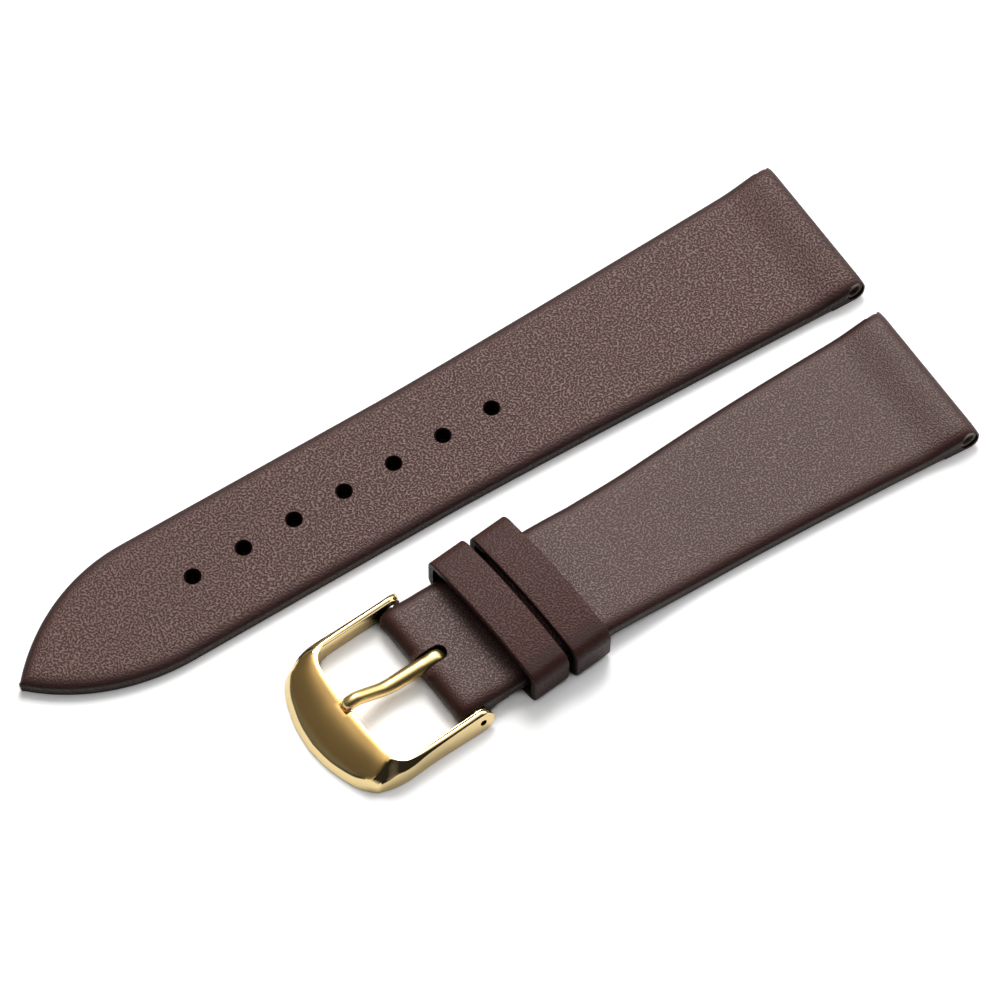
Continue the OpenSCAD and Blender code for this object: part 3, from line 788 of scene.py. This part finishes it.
def tongue_path():
    """Centreline of the tongue round the bar and over the front, as (x, z) from the bar,
    with its half width and half height at each point."""
    r = bpy.context.scene.buckle_sizes.wire / 2
    root = r + bpy.context.scene.buckle_sizes.root_swell
    # The loop lies flattened round the bar, 1.8 mm wide and 0.9 mm thick.
    loop, flat_half, flat_high = 1.25, 0.9, 0.45
    path, radii = [], []
    for a in spread(math.radians(-150), math.radians(90), 20):
        path.append((loop * math.cos(a), loop * math.sin(a)))
        radii.append((flat_half, flat_high))

    def wire(x):
        """Half width and half height of the wire, which gets slimmer from its root on."""
        return root + (r - root) * ease((-x - 4) / 5), r

    corners = [(-1.9, 0.66), (-6.9, 0.3), (-11.45, 2.4), (-12.95, 1.62)]
    for x in spread(-0.35, -1.9, 6):
        t = ease(-x / 1.9)
        high = flat_high + (r - flat_high) * t
        path.append((x, 1.7 + x * 0.5 / 6.9 - high))
        radii.append((flat_half + (root - flat_half) * t, high))
    for k, turn in ((1, 1.3), (2, 0.95)):
        a, b, c = (Vector(corners[i]) for i in (k - 1, k, k + 1))
        start = b + (a - b).normalized() * turn
        end = b + (c - b).normalized() * turn
        last = Vector(path[-1])
        for t in spread(0, 1, 6)[1:-1]:
            path.append(tuple(last.lerp(start, t)))
            radii.append(wire(path[-1][0]))
        for t in spread(0, 1, 8):
            path.append(tuple((1 - t) ** 2 * start + 2 * t * (1 - t) * b + t * t * end))
            radii.append(wire(path[-1][0]))
    tip = Vector(corners[-1])
    last = Vector(path[-1])
    way = (tip - last).normalized()
    tip_r = r - 0.04
    for a in spread(0, math.pi / 2, 8):
        path.append(tuple(tip + way * (tip_r * (math.sin(a) - 1))))
        radii.append((tip_r * max(0.02, math.cos(a)), tip_r * max(0.02, math.cos(a))))
    return path, radii


def seat_for_tip(bm, clearance=0.1):
    """Presses the place where the tongue's tip rests into the front bar."""
    path = tongue_path()[0]
    # Past the loop round the bar, the tongue has one height at each place.
    over_front = path[30:]
    end = Vector(path[-1])
    r = bpy.context.scene.buckle_sizes.wire / 2 + clearance
    for v in bm.verts:
        at = v.co / MM - BAR
        if at.x > -11 or abs(at.y) > 1.4 or at.z < -0.3:
            continue
        near = min(over_front, key=lambda c: abs(c[0] - at.x))
        past = max(0.0, end.x + 0.8 - at.x)
        room = r * r - past * past - at.y * at.y
        if room > 0:
            level = near[1] - math.sqrt(room)
            if at.z > level:
                v.co.z = (BAR.z + level) * MM


# Materials. Every pattern is drawn in millimetres of the object's own space.

def add(tree, kind, inputs=None, **settings):
    """Adds a node with its settings, and with its inputs set or linked."""
    node = tree.nodes.new(kind)
    for name, value in settings.items():
        setattr(node, name, value)
    for name, value in (inputs or {}).items():
        if isinstance(value, bpy.types.NodeSocket):
            tree.links.new(value, node.inputs[name])
        else:
            node.inputs[name].default_value = value
    return node


def blank(name):
    """A new material with an empty node tree."""
    material = bpy.data.materials.new(name)
    material.use_nodes = True
    material.node_tree.nodes.clear()
    return material, material.node_tree


def in_mm(tree):
    """Place in the object's own space, in millimetres."""
    place = add(tree, "ShaderNodeTexCoord")
    return add(tree, "ShaderNodeMapping", {"Vector": place.outputs["Object"],
                                           "Scale": (1000, 1000, 1000)}).outputs[0]


def chosen(name, share=1.0):
    """One of the add-on's colours, dimmed to a share of its brightness."""
    return [c * share for c in getattr(bpy.context.scene.finishes, name)] + [1.0]


def shared(make, name, **finish):
    """A material that several pieces use, made once."""
    return bpy.data.materials.get(name) or make(name, **finish)


def calf_leather(name, face, roughness, grain, relief, gloss):
    """Chrome-tanned calf, pigmented and lightly plated: fine wandering ridges with darker
    hollows, a low greyish sheen, and smooth painted edges. The grain is the distance from
    one ridge to the next in millimetres."""
    material, tree = blank(name)
    mm = in_mm(tree)
    edge_mask = add(tree, "ShaderNodeAttribute", attribute_name="edge").outputs["Fac"]
    # The skin's folds wander, so the ridges are bent by a slower noise of about 3 mm.
    drift = add(tree, "ShaderNodeTexNoise", {"Vector": mm, "Scale": 0.35, "Detail": 2.0})
    bent = add(tree, "ShaderNodeVectorMath", {0: drift.outputs["Color"], 1: (0.8, 0.8, 0.8)},
               operation="MULTIPLY")
    place = add(tree, "ShaderNodeVectorMath", {0: mm, 1: bent.outputs[0]}, operation="ADD")
    # Gabor noise cut near its middle leaves even worm-like ridges, one in each grain's width.
    # It is flat, and a lean with height carries it down the walls.
    height_mm = add(tree, "ShaderNodeSeparateXYZ", {"Vector": place.outputs[0]}).outputs["Z"]
    lean = add(tree, "ShaderNodeCombineXYZ", {"X": height_mm, "Y": height_mm})
    spot = add(tree, "ShaderNodeVectorMath", {0: lean.outputs[0], 1: (0.7, -0.7, 0),
                                              2: place.outputs[0]}, operation="MULTIPLY_ADD")
    worms = add(tree, "ShaderNodeTexGabor", {"Vector": spot.outputs[0], "Scale": 1.02 / grain,
                                             "Frequency": 1.0, "Anisotropy": 0.0},
                gabor_type="2D")
    ridge = add(tree, "ShaderNodeMapRange", {"Value": worms.outputs[0], "From Min": 0.38,
                                             "From Max": 0.61}, interpolation_type="SMOOTHSTEP")
    # Pits of about a third of the grain break the ridges up.
    pits = add(tree, "ShaderNodeTexNoise", {"Vector": mm, "Scale": 3.1 / grain, "Detail": 1.0})
    height = add(tree, "ShaderNodeMath", {0: pits.outputs[0], 1: 0.5, 2: -0.15},
                 operation="MULTIPLY_ADD")
    height = add(tree, "ShaderNodeMath", {0: ridge.outputs[0], 1: 0.8,
                                          2: height.outputs[0]}, operation="MULTIPLY_ADD")
    # Dye takes a little unevenly over some 20 mm.
    patchy = add(tree, "ShaderNodeTexNoise", {"Vector": mm, "Scale": 0.05, "Detail": 3.0})
    warm = add(tree, "ShaderNodeMix", {0: patchy.outputs[0], 6: chosen(face),
                                       7: chosen(face, 0.8)}, data_type="RGBA")
    grained = add(tree, "ShaderNodeMix", {0: height.outputs[0], 6: chosen(face + "_pore"),
                                          7: warm.outputs[2]}, data_type="RGBA")
    # Painted shade, partly stretched calf: rolled edges and bends go darker and redder.
    calm = add(tree, "ShaderNodeMapRange", {"Value": edge_mask, "From Min": 0.3, "From Max": 0.8},
               interpolation_type="SMOOTHSTEP")
    ruddy = add(tree, "ShaderNodeMix", {0: calm.outputs[0], 6: grained.outputs[2],
                                        7: chosen("calf_bend")}, data_type="RGBA")
    paint = add(tree, "ShaderNodeMapRange", {"Value": edge_mask, "From Min": 0.68, "From Max": 0.97},
                interpolation_type="SMOOTHSTEP")
    tint = add(tree, "ShaderNodeMix", {0: paint.outputs[0], 6: ruddy.outputs[2],
                                       7: chosen("calf_edge")}, data_type="RGBA")
    # Painted shade: where another piece all but covers the leather, its colour goes nearly black.
    open_sky = add(tree, "ShaderNodeAmbientOcclusion", {"Distance": 3.2 * MM})
    free = add(tree, "ShaderNodeMapRange", {"Value": open_sky.outputs["AO"], "From Min": 0.2,
                                            "From Max": 0.62}, interpolation_type="SMOOTHSTEP")
    tint = add(tree, "ShaderNodeMix", {0: free.outputs[0], 6: linear("#070404"),
                                       7: tint.outputs[2]}, data_type="RGBA")
    # Fine wrinkles of about 0.15 mm show only as a slight breaking of the sheen.
    fine = add(tree, "ShaderNodeTexNoise", {"Vector": mm, "Scale": 6.0, "Detail": 2.0})
    relief_left = add(tree, "ShaderNodeMapRange", {"Value": edge_mask, "From Min": 0.3,
                                                   "From Max": 0.9, "To Min": relief,
                                                   "To Max": relief * 0.18})
    bump = add(tree, "ShaderNodeBump", {"Strength": relief_left.outputs[0],
                                        "Distance": 0.0001, "Height": height.outputs[0]})
    bump = add(tree, "ShaderNodeBump", {"Strength": 0.12, "Distance": 0.00004,
                                        "Height": fine.outputs[0],
                                        "Normal": bump.outputs[0]})
    rough = add(tree, "ShaderNodeMapRange", {"Value": height.outputs[0],
                                             "To Min": roughness + 0.4 * relief,
                                             "To Max": roughness})
    shader = add(tree, "ShaderNodeBsdfPrincipled",
                 {"Base Color": tint.outputs[2], "Roughness": rough.outputs[0],
                  "IOR": 1.43, "Specular IOR Level": gloss,
                  "Normal": bump.outputs[0]})
    add(tree, "ShaderNodeOutputMaterial", {"Surface": shader.outputs[0]})
    return material


def edge_dye_and_shade(name):
    """Matt edge dye, uneven over half a millimetre, and near black: painted shade on the walls
    of the punched holes, bores and other cut ways."""
    material, tree = blank(name)
    uneven = add(tree, "ShaderNodeTexNoise", {"Vector": in_mm(tree), "Scale": 2.0})
    # Its near black is painted shade.
    tint = add(tree, "ShaderNodeMix", {0: uneven.outputs[0], 6: linear("#0d0807"),
                                       7: chosen("calf_edge")}, data_type="RGBA")
    shader = add(tree, "ShaderNodeBsdfPrincipled",
                 {"Base Color": tint.outputs[2], "Roughness": 0.95, "Specular IOR Level": 0.1})
    add(tree, "ShaderNodeOutputMaterial", {"Surface": shader.outputs[0]})
    return material


def lining_leather(name):
    """Split lining leather: matt, with a nap of 0.25 mm that lies in patches of 4 mm, and
    with its cut edge stained dark."""
    material, tree = blank(name)
    mm = in_mm(tree)
    nap = add(tree, "ShaderNodeTexNoise", {"Vector": mm, "Scale": 4.0, "Detail": 4.0,
                                           "Roughness": 0.7})
    patch = add(tree, "ShaderNodeTexNoise", {"Vector": mm, "Scale": 0.25, "Detail": 2.0})
    edge_mask = add(tree, "ShaderNodeAttribute", attribute_name="edge").outputs["Fac"]
    pale = add(tree, "ShaderNodeMix", {0: nap.outputs[0], 6: linear("#6f5f51"),
                                       7: chosen("lining")}, data_type="RGBA")
    tint = add(tree, "ShaderNodeMix", {0: edge_mask, 6: pale.outputs[2],
                                       7: chosen("calf_edge")}, data_type="RGBA")
    height = add(tree, "ShaderNodeMath", {0: nap.outputs[0], 1: patch.outputs[0]},
                 operation="ADD")
    bump = add(tree, "ShaderNodeBump", {"Strength": 0.4, "Distance": 0.00005,
                                        "Height": height.outputs[0]})
    shader = add(tree, "ShaderNodeBsdfPrincipled",
                 {"Base Color": tint.outputs[2], "Roughness": 0.85, "Sheen Weight": 0.15,
                  "Normal": bump.outputs[0]})
    add(tree, "ShaderNodeOutputMaterial", {"Surface": shader.outputs[0]})
    return material


def bonded_board(name):
    """Bonded leather board: pressed clumps of fibre 0.4 mm wide, matt and mottled."""
    material, tree = blank(name)
    mm = in_mm(tree)
    fibres = add(tree, "ShaderNodeTexVoronoi", {"Vector": mm, "Scale": 2.5})
    tint = add(tree, "ShaderNodeMix", {0: fibres.outputs[0], 6: linear("#7a6552"),
                                       7: linear("#5c4a3b")}, data_type="RGBA")
    bump = add(tree, "ShaderNodeBump", {"Strength": 0.3, "Distance": 0.00005,
                                        "Height": fibres.outputs[0]})
    shader = add(tree, "ShaderNodeBsdfPrincipled",
                 {"Base Color": tint.outputs[2], "Roughness": 0.9, "Normal": bump.outputs[0]})
    add(tree, "ShaderNodeOutputMaterial", {"Surface": shader.outputs[0]})
    return material


def woven_tape(name):
    """Woven cotton tape round the bore, with threads of 0.2 mm: greyish and matt."""
    material, tree = blank(name)
    mm = in_mm(tree)
    warp = add(tree, "ShaderNodeTexWave", {"Vector": mm, "Scale": 0.8, "Distortion": 0.6},
               bands_direction="Y")
    tint = add(tree, "ShaderNodeMix", {0: warp.outputs[1], 6: linear("#6c665c"),
                                       7: chosen("tape")}, data_type="RGBA")
    bump = add(tree, "ShaderNodeBump", {"Strength": 0.4, "Distance": 0.00004,
                                        "Height": warp.outputs[1]})
    shader = add(tree, "ShaderNodeBsdfPrincipled",
                 {"Base Color": tint.outputs[2], "Roughness": 0.9, "Normal": bump.outputs[0]})
    add(tree, "ShaderNodeOutputMaterial", {"Surface": shader.outputs[0]})
    return material


def gold_plate(name, tone, roughness, dimpled):
    """Gold-plated brass. Polished, it mirrors the room in yellow; blasted satin, it spreads
    the light and shows only soft shades."""
    material, tree = blank(name)
    mm = in_mm(tree)
    # Handling leaves faint smears of some 2 mm.
    smears = add(tree, "ShaderNodeTexNoise", {"Vector": mm, "Scale": 0.5, "Detail": 3.0})
    shade = add(tree, "ShaderNodeMix", {0: smears.outputs[0], 6: chosen(tone),
                                        7: chosen(tone, 0.9)}, data_type="RGBA")
    rough = add(tree, "ShaderNodeMapRange", {"Value": smears.outputs[0],
                                             "To Min": roughness * 0.85,
                                             "To Max": roughness * 1.2})
    # Blasting leaves dimples of 0.05 mm, drawn at 0.12 mm so that they just show.
    dimples = add(tree, "ShaderNodeTexNoise", {"Vector": mm, "Scale": 8.0, "Detail": 2.0})
    bump = add(tree, "ShaderNodeBump", {"Strength": dimpled, "Distance": 0.00001,
                                        "Height": dimples.outputs[0]})
    shader = add(tree, "ShaderNodeBsdfPrincipled",
                 {"Base Color": shade.outputs[2], "Roughness": rough.outputs[0],
                  "Metallic": 1.0, "Normal": bump.outputs[0]})
    add(tree, "ShaderNodeOutputMaterial", {"Surface": shader.outputs[0]})
    return material


def bar_steel(name):
    """Turned stainless steel: bright, with rings from the tool every 0.16 mm."""
    material, tree = blank(name)
    mm = in_mm(tree)
    rings = add(tree, "ShaderNodeTexWave", {"Vector": mm, "Scale": 2.0, "Distortion": 1.0},
                bands_direction="Y")
    rough = add(tree, "ShaderNodeMapRange", {"Value": rings.outputs[1], "To Min": 0.22,
                                             "To Max": 0.32})
    bump = add(tree, "ShaderNodeBump", {"Strength": 0.15, "Distance": 0.00001,
                                        "Height": rings.outputs[1]})
    shader = add(tree, "ShaderNodeBsdfPrincipled",
                 {"Base Color": chosen("steel"), "Roughness": rough.outputs[0],
                  "Metallic": 1.0, "Normal": bump.outputs[0]})
    add(tree, "ShaderNodeOutputMaterial", {"Surface": shader.outputs[0]})
    return material


def strap_calf():
    """The tail's calf, which has the clearest grain."""
    return shared(calf_leather, "grained calf", face="calf", roughness=0.38, grain=0.46,
                  relief=0.75, gloss=0.5)


def side_calf():
    """The buckle side's calf, cut where the skin is a little finer."""
    return shared(calf_leather, "fine grained calf", face="side", roughness=0.36, grain=0.42,
                  relief=0.5, gloss=0.5)


def keeper_calf():
    """The keepers' calf, plated smoother and duller."""
    return shared(calf_leather, "plated calf", face="keeper", roughness=0.42, grain=0.44,
                  relief=0.5, gloss=0.32)


# Operators, one for each piece or group of like pieces

def done(obj, body, slot, *nodes):
    """Rides a piece on its body and hides the solids that it stands for. Its slot is not used."""
    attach(obj, body)
    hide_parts(*nodes)
    return {"FINISHED"}


class STRAP_OT_tail(bpy.types.Operator):
    """Make the tail: its calf upper with the punched holes, filler, lining and bore tape"""
    bl_idname = "strap.tail"
    bl_label = "Tail"

    def execute(self, context):
        h = tail()
        closed = h.length - 2 * context.scene.strap_sizes.upper
        upper = piece("tail_calf", make_upper(h, closed, True, 1.0), materials=[strap_calf()])
        cut(upper, tail_holes(True) + [rod(TAPE_ROOM, PAST, h.bore(), STRAIGHT, 48)])
        done(upper, "tail", "calf_upper", "tail_upper")
        board = make_board("tail_board", h, closed)
        cut(board, tail_holes(False))
        done(board, "tail", "filler_board", "tail_filler")
        under = make_lining("tail_lining_leather", h, h.length - SET_IN)
        cut(under, tail_holes(False))
        done(under, "tail", "lining_leather", "tail_lining")
        return make_tape("tail_bore_tape", h, "tail", "tail_lug_sleeve")


class STRAP_OT_buckle_side(bpy.types.Operator):
    """Make the buckle side: calf folded round the bar, filler, lining and bore tape"""
    bl_idname = "strap.buckle_side"
    bl_label = "Buckle side"

    def execute(self, context):
        h = buckle_side()
        closed = BAR_FROM_LUG - UNDER
        upper = piece("buckle_side_calf", make_upper(h, closed, False, 1.2),
                      materials=[side_calf()])
        cut(upper, [tongue_slot(), rod(BAR_WAY, PAST, BAR, ACROSS, 40),
                    rod(TAPE_ROOM, PAST, h.bore(), STRAIGHT, 48)])
        done(upper, "buckle_side", "calf_upper", "buckle_side_upper")
        done(make_board("buckle_side_board", h, closed),
             "buckle_side", "filler_board", "buckle_side_filler")
        done(make_lining("buckle_side_lining_leather", h, closed - GLUE),
             "buckle_side", "lining_leather", "buckle_side_lining")
        return make_tape("buckle_side_bore_tape", h, "buckle_side", "buckle_side_lug_sleeve")


class STRAP_OT_keepers(bpy.types.Operator):
    """Make the fixed and the sliding keeper, each with its lining"""
    bl_idname = "strap.keepers"
    bl_label = "Keepers"

    def execute(self, context):
        z = context.scene.keeper_sizes
        half = z.width / 2
        for node, body in (("fixed_keeper", "buckle_side"), ("sliding_keeper", "sliding_keeper")):
            loop = piece(node + "_calf", keeper_layer(node, 0, z.leather, half, 0.22),
                         materials=[keeper_calf()])
            done(loop, body, "keeper_calf", node)
            inner = piece(node + "_inner", keeper_layer(node + "_lining", z.leather + GLUE,
                                                        z.leather + z.lining, half - 0.03, 0.05),
                          materials=[keeper_calf()])
            done(inner, body, "lining_leather", node + "_lining")
        return {"FINISHED"}


class STRAP_OT_buckle(bpy.types.Operator):
    """Make the buckle's frame: slim arms, satin front face and polished edges"""
    bl_idname = "strap.buckle"
    bl_label = "Buckle frame"

    def execute(self, context):
        near, far = (smooth_keys(frame_keys(side), FILL) for side in (False, True))
        angles = spread(0, math.pi / 2, 8)
        rings = [arm_end_ring(a, -1) for a in angles]
        rings += [frame_ring(row, -1) for row in near]
        rings += [frame_ring(row, 1) for row in reversed(far[:-1])]
        rings += [arm_end_ring(a, 1) for a in reversed(angles)]
        rings = [[onto_bar(p) for p in ring] for ring in rings]
        first = len(angles) + FILL * SATIN_FROM_NEAR
        last = len(rings) - len(angles) - FILL * SATIN_FROM_FAR - 1

        def finish(i, j):
            return 1 if first <= i < last and j in FACE else 0

        bm = loft(rings, finish)
        seat_for_tip(bm)
        crease = 28
        # The satin plate's darker colour is painted shade.
        frame_obj = piece("gold_frame", bm, crease, [
            gold_plate("polished gold plate", tone="gold", roughness=0.1, dimpled=0.0),
            gold_plate("satin gold plate", tone="satin", roughness=0.32, dimpled=0.25)])
        cut(frame_obj, [rod(ARM_HOLE, 12, BAR, ACROSS, 32)], crease)
        soft = frame_obj.modifiers.new("soften", "BEVEL")
        soft.width = 0.06 * MM
        soft.segments = 2
        soft.limit_method = "ANGLE"
        soft.angle_limit = math.radians(crease)
        settle(frame_obj, 50)
        return done(frame_obj, "buckle", "gold_plate", "buckle_frame")


class STRAP_OT_tongue(bpy.types.Operator):
    """Make the tongue: a gold-plated wire bent round the bar and over the front"""
    bl_idname = "strap.tongue"
    bl_label = "Tongue"

    def execute(self, context):
        path, radii = tongue_path()
        rings = [[BAR + Vector(p) for p in ring] for ring in swept(path, radii)]
        wire = piece("gold_tongue", loft(rings), 50,
                     [gold_plate("burnished gold plate", tone="wire", roughness=0.3,
                                 dimpled=0.15)])
        return done(wire, "tongue", "gold_plate", "buckle_tongue")


class STRAP_OT_bar(bpy.types.Operator):
    """Finish the spring bar's tube, pins and coil in turned steel"""
    bl_idname = "strap.bar"
    bl_label = "Spring bar"

    def execute(self, context):
        steel = bar_steel("turned steel")
        for name in ("bar_tube", "bar_spring"):
            mesh = frame["nodes"][name].data
            mesh.materials.clear()
            mesh.materials.append(steel)
        # The pins are copies of the solids, merged first. Their tips end a little inside the
        # arms' holes, which look dark for it.
        tip, drawn_in = 9.9, 0.7
        for name in ("bar_pin_far", "bar_pin_near"):
            bm = bmesh.new()
            bm.from_mesh(frame["nodes"][name].data)
            bmesh.ops.remove_doubles(bm, verts=bm.verts, dist=1e-7)
            for v in bm.verts:
                out = (v.co / MM - BAR).dot(ACROSS)
                if abs(out) > tip:
                    v.co -= ACROSS * math.copysign(drawn_in, out) * MM
            done(piece(name + "_steel", bm, materials=[steel]), name, "bar_steel", name)
        return {"FINISHED"}


class STRAP_OT_stage(bpy.types.Operator):
    """Set the white table, the soft studio light and the camera"""
    bl_idname = "strap.stage"
    bl_label = "Stage"

    def execute(self, context):
        scene = context.scene
        bm = bmesh.new()
        bmesh.ops.create_grid(bm, x_segments=2, y_segments=2, size=1.2)
        bmesh.ops.translate(bm, verts=bm.verts, vec=(0, 0, -0.05 * MM))
        table = piece("table", bm, materials=[white_table()])

        camera = bpy.data.cameras.new("camera")
        camera.sensor_width, camera.lens, camera.clip_end = SENSOR, LENS, 10
        view = bpy.data.objects.new("camera", camera)
        scene.collection.objects.link(view)
        view.location = Vector(CAMERA_AT) * MM
        target = Vector(CAMERA_AIM) * MM
        aim = (target - view.location).to_track_quat("-Z", "Y").to_matrix()
        roll = Matrix.Rotation(math.radians(CAMERA_ROLL), 3, "Z")
        view.rotation_euler = (aim @ roll).to_euler()
        scene.camera = view

        light = bpy.data.lights.new("key", "AREA")
        light.size = LAMP_SIZE * MM
        light.energy = LAMP_POWER
        light.color = (1.0, 0.99, 0.98)
        lamp = bpy.data.objects.new("key", light)
        scene.collection.objects.link(lamp)
        lamp.location = Vector(LAMP_AT) * MM
        lamp.rotation_euler = (-lamp.location).to_track_quat("-Z", "Y").to_euler()

        scene.world = light_tent()
        scene.view_settings.view_transform = "Standard"
        return {"FINISHED"}


def white_table():
    """A white paper table, whose white varies by a hair over some 50 mm. It is lit until it
    shows pure white wherever no shadow falls."""
    material, tree = blank("white table")
    mm = in_mm(tree)
    cloud = add(tree, "ShaderNodeTexNoise", {"Vector": mm, "Scale": 0.02})
    # Painted shade: the paper goes dark in the punched holes and where the strap all but touches
    # it.
    open_sky = add(tree, "ShaderNodeAmbientOcclusion", {"Distance": 2.6 * MM})
    free = add(tree, "ShaderNodeMapRange", {"Value": open_sky.outputs["AO"], "From Min": 0.25,
                                            "From Max": 0.5}, interpolation_type="SMOOTHSTEP")
    paper = add(tree, "ShaderNodeMix", {0: cloud.outputs[0], 6: linear("#fbfbfb"),
                                        7: linear("#ffffff")}, data_type="RGBA")
    tone = add(tree, "ShaderNodeMix", {0: free.outputs[0], 6: linear("#14100e"),
                                       7: paper.outputs[2]}, data_type="RGBA")
    sheet = add(tree, "ShaderNodeBsdfPrincipled",
                {"Base Color": tone.outputs[2], "Roughness": 0.9,
                 "Specular IOR Level": 0.0})
    # It glows a little for the camera alone, keeping its white beside the soft shadow but not in
    # painted shade.
    seen = add(tree, "ShaderNodeLightPath").outputs["Is Camera Ray"]
    lift = add(tree, "ShaderNodeMath", {0: seen, 1: free.outputs[0]}, operation="MULTIPLY")
    lift = add(tree, "ShaderNodeMath", {0: lift.outputs[0], 1: 0.2}, operation="MULTIPLY")
    glow = add(tree, "ShaderNodeEmission", {"Strength": lift.outputs[0]})
    both = add(tree, "ShaderNodeAddShader", {0: sheet.outputs[0], 1: glow.outputs[0]})
    add(tree, "ShaderNodeOutputMaterial", {"Surface": both.outputs[0]})
    return material


def tent_cloth(tree, way, centre, edge, full, strength):
    """A soft patch of light round a direction."""
    near = add(tree, "ShaderNodeVectorMath", {0: way, 1: centre}, operation="DOT_PRODUCT")
    return add(tree, "ShaderNodeMapRange", {"Value": near.outputs["Value"], "From Min": edge,
                                            "From Max": full, "To Max": strength},
               interpolation_type="SMOOTHSTEP").outputs[0]


def light_tent():
    """A plain light tent: white overhead and on the right, paler on the left and along the
    table, and nearly black elsewhere, which polished metal mirrors as dark lines. The camera
    sees it white all over."""
    world = bpy.data.worlds.new("light tent")
    world.use_nodes = True
    tree = world.node_tree
    tree.nodes.clear()
    way = add(tree, "ShaderNodeTexCoord").outputs["Generated"]
    over = tent_cloth(tree, way, (0.14, 0.2, 0.97), 0.83, 0.985, 1.7)
    left = tent_cloth(tree, way, (-0.43, 0.4, 0.81), 0.5, 0.95, 0.2)
    right = tent_cloth(tree, way, (0.75, 0.2, 0.63), 0.78, 0.95, 2.3)
    height = add(tree, "ShaderNodeSeparateXYZ", {"Vector": way}).outputs["Z"]
    low = add(tree, "ShaderNodeMapRange", {"Value": height, "From Min": 0.02, "From Max": 0.2,
                                           "To Min": 0.7, "To Max": 0.03},
              interpolation_type="SMOOTHSTEP").outputs[0]
    bright = add(tree, "ShaderNodeMath", {0: over, 1: right}, operation="MAXIMUM")
    bright = add(tree, "ShaderNodeMath", {0: bright.outputs[0], 1: left}, operation="MAXIMUM")
    bright = add(tree, "ShaderNodeMath", {0: bright.outputs[0], 1: low}, operation="MAXIMUM")
    seen = add(tree, "ShaderNodeLightPath")
    shown = add(tree, "ShaderNodeMath", {0: bright.outputs[0],
                                         1: seen.outputs["Is Camera Ray"]}, operation="MAXIMUM")
    light = add(tree, "ShaderNodeBackground", {"Strength": shown.outputs[0]})
    add(tree, "ShaderNodeOutputWorld", {"Surface": light.outputs[0]})
    return world


class STRAP_PT_panel(bpy.types.Panel):
    """Sizes and finishes of the strap, and the operators that make it"""
    bl_idname = "STRAP_PT_panel"
    bl_label = "Leather watch strap"
    bl_space_type = "VIEW_3D"
    bl_region_type = "UI"
    bl_category = "Strap"

    def draw(self, context):
        for group in ("strap_sizes", "keeper_sizes", "buckle_sizes", "finishes"):
            values = getattr(context.scene, group)
            box = self.layout.box()
            for name in values.__annotations__:
                box.prop(values, name)
        for operator in OPERATORS:
            self.layout.operator(operator.bl_idname)


GROUPS = {"strap_sizes": StrapSizes, "keeper_sizes": KeeperSizes, "buckle_sizes": BuckleSizes,
          "finishes": Finishes}
OPERATORS = [STRAP_OT_tail, STRAP_OT_buckle_side, STRAP_OT_keepers, STRAP_OT_buckle,
             STRAP_OT_tongue, STRAP_OT_bar, STRAP_OT_stage]
CLASSES = [*GROUPS.values(), *OPERATORS, STRAP_PT_panel]


def register():
    for cls in CLASSES:
        bpy.utils.register_class(cls)
    for name, cls in GROUPS.items():
        setattr(bpy.types.Scene, name, PointerProperty(type=cls))


def unregister():
    for name in GROUPS:
        delattr(bpy.types.Scene, name)
    for cls in reversed(CLASSES):
        bpy.utils.unregister_class(cls)


def main():
    register()
    bpy.ops.strap.tail()
    bpy.ops.strap.buckle_side()
    bpy.ops.strap.keepers()
    bpy.ops.strap.buckle()
    bpy.ops.strap.tongue()
    bpy.ops.strap.bar()
    bpy.ops.strap.stage()


if __name__ == "__main__":
    main()
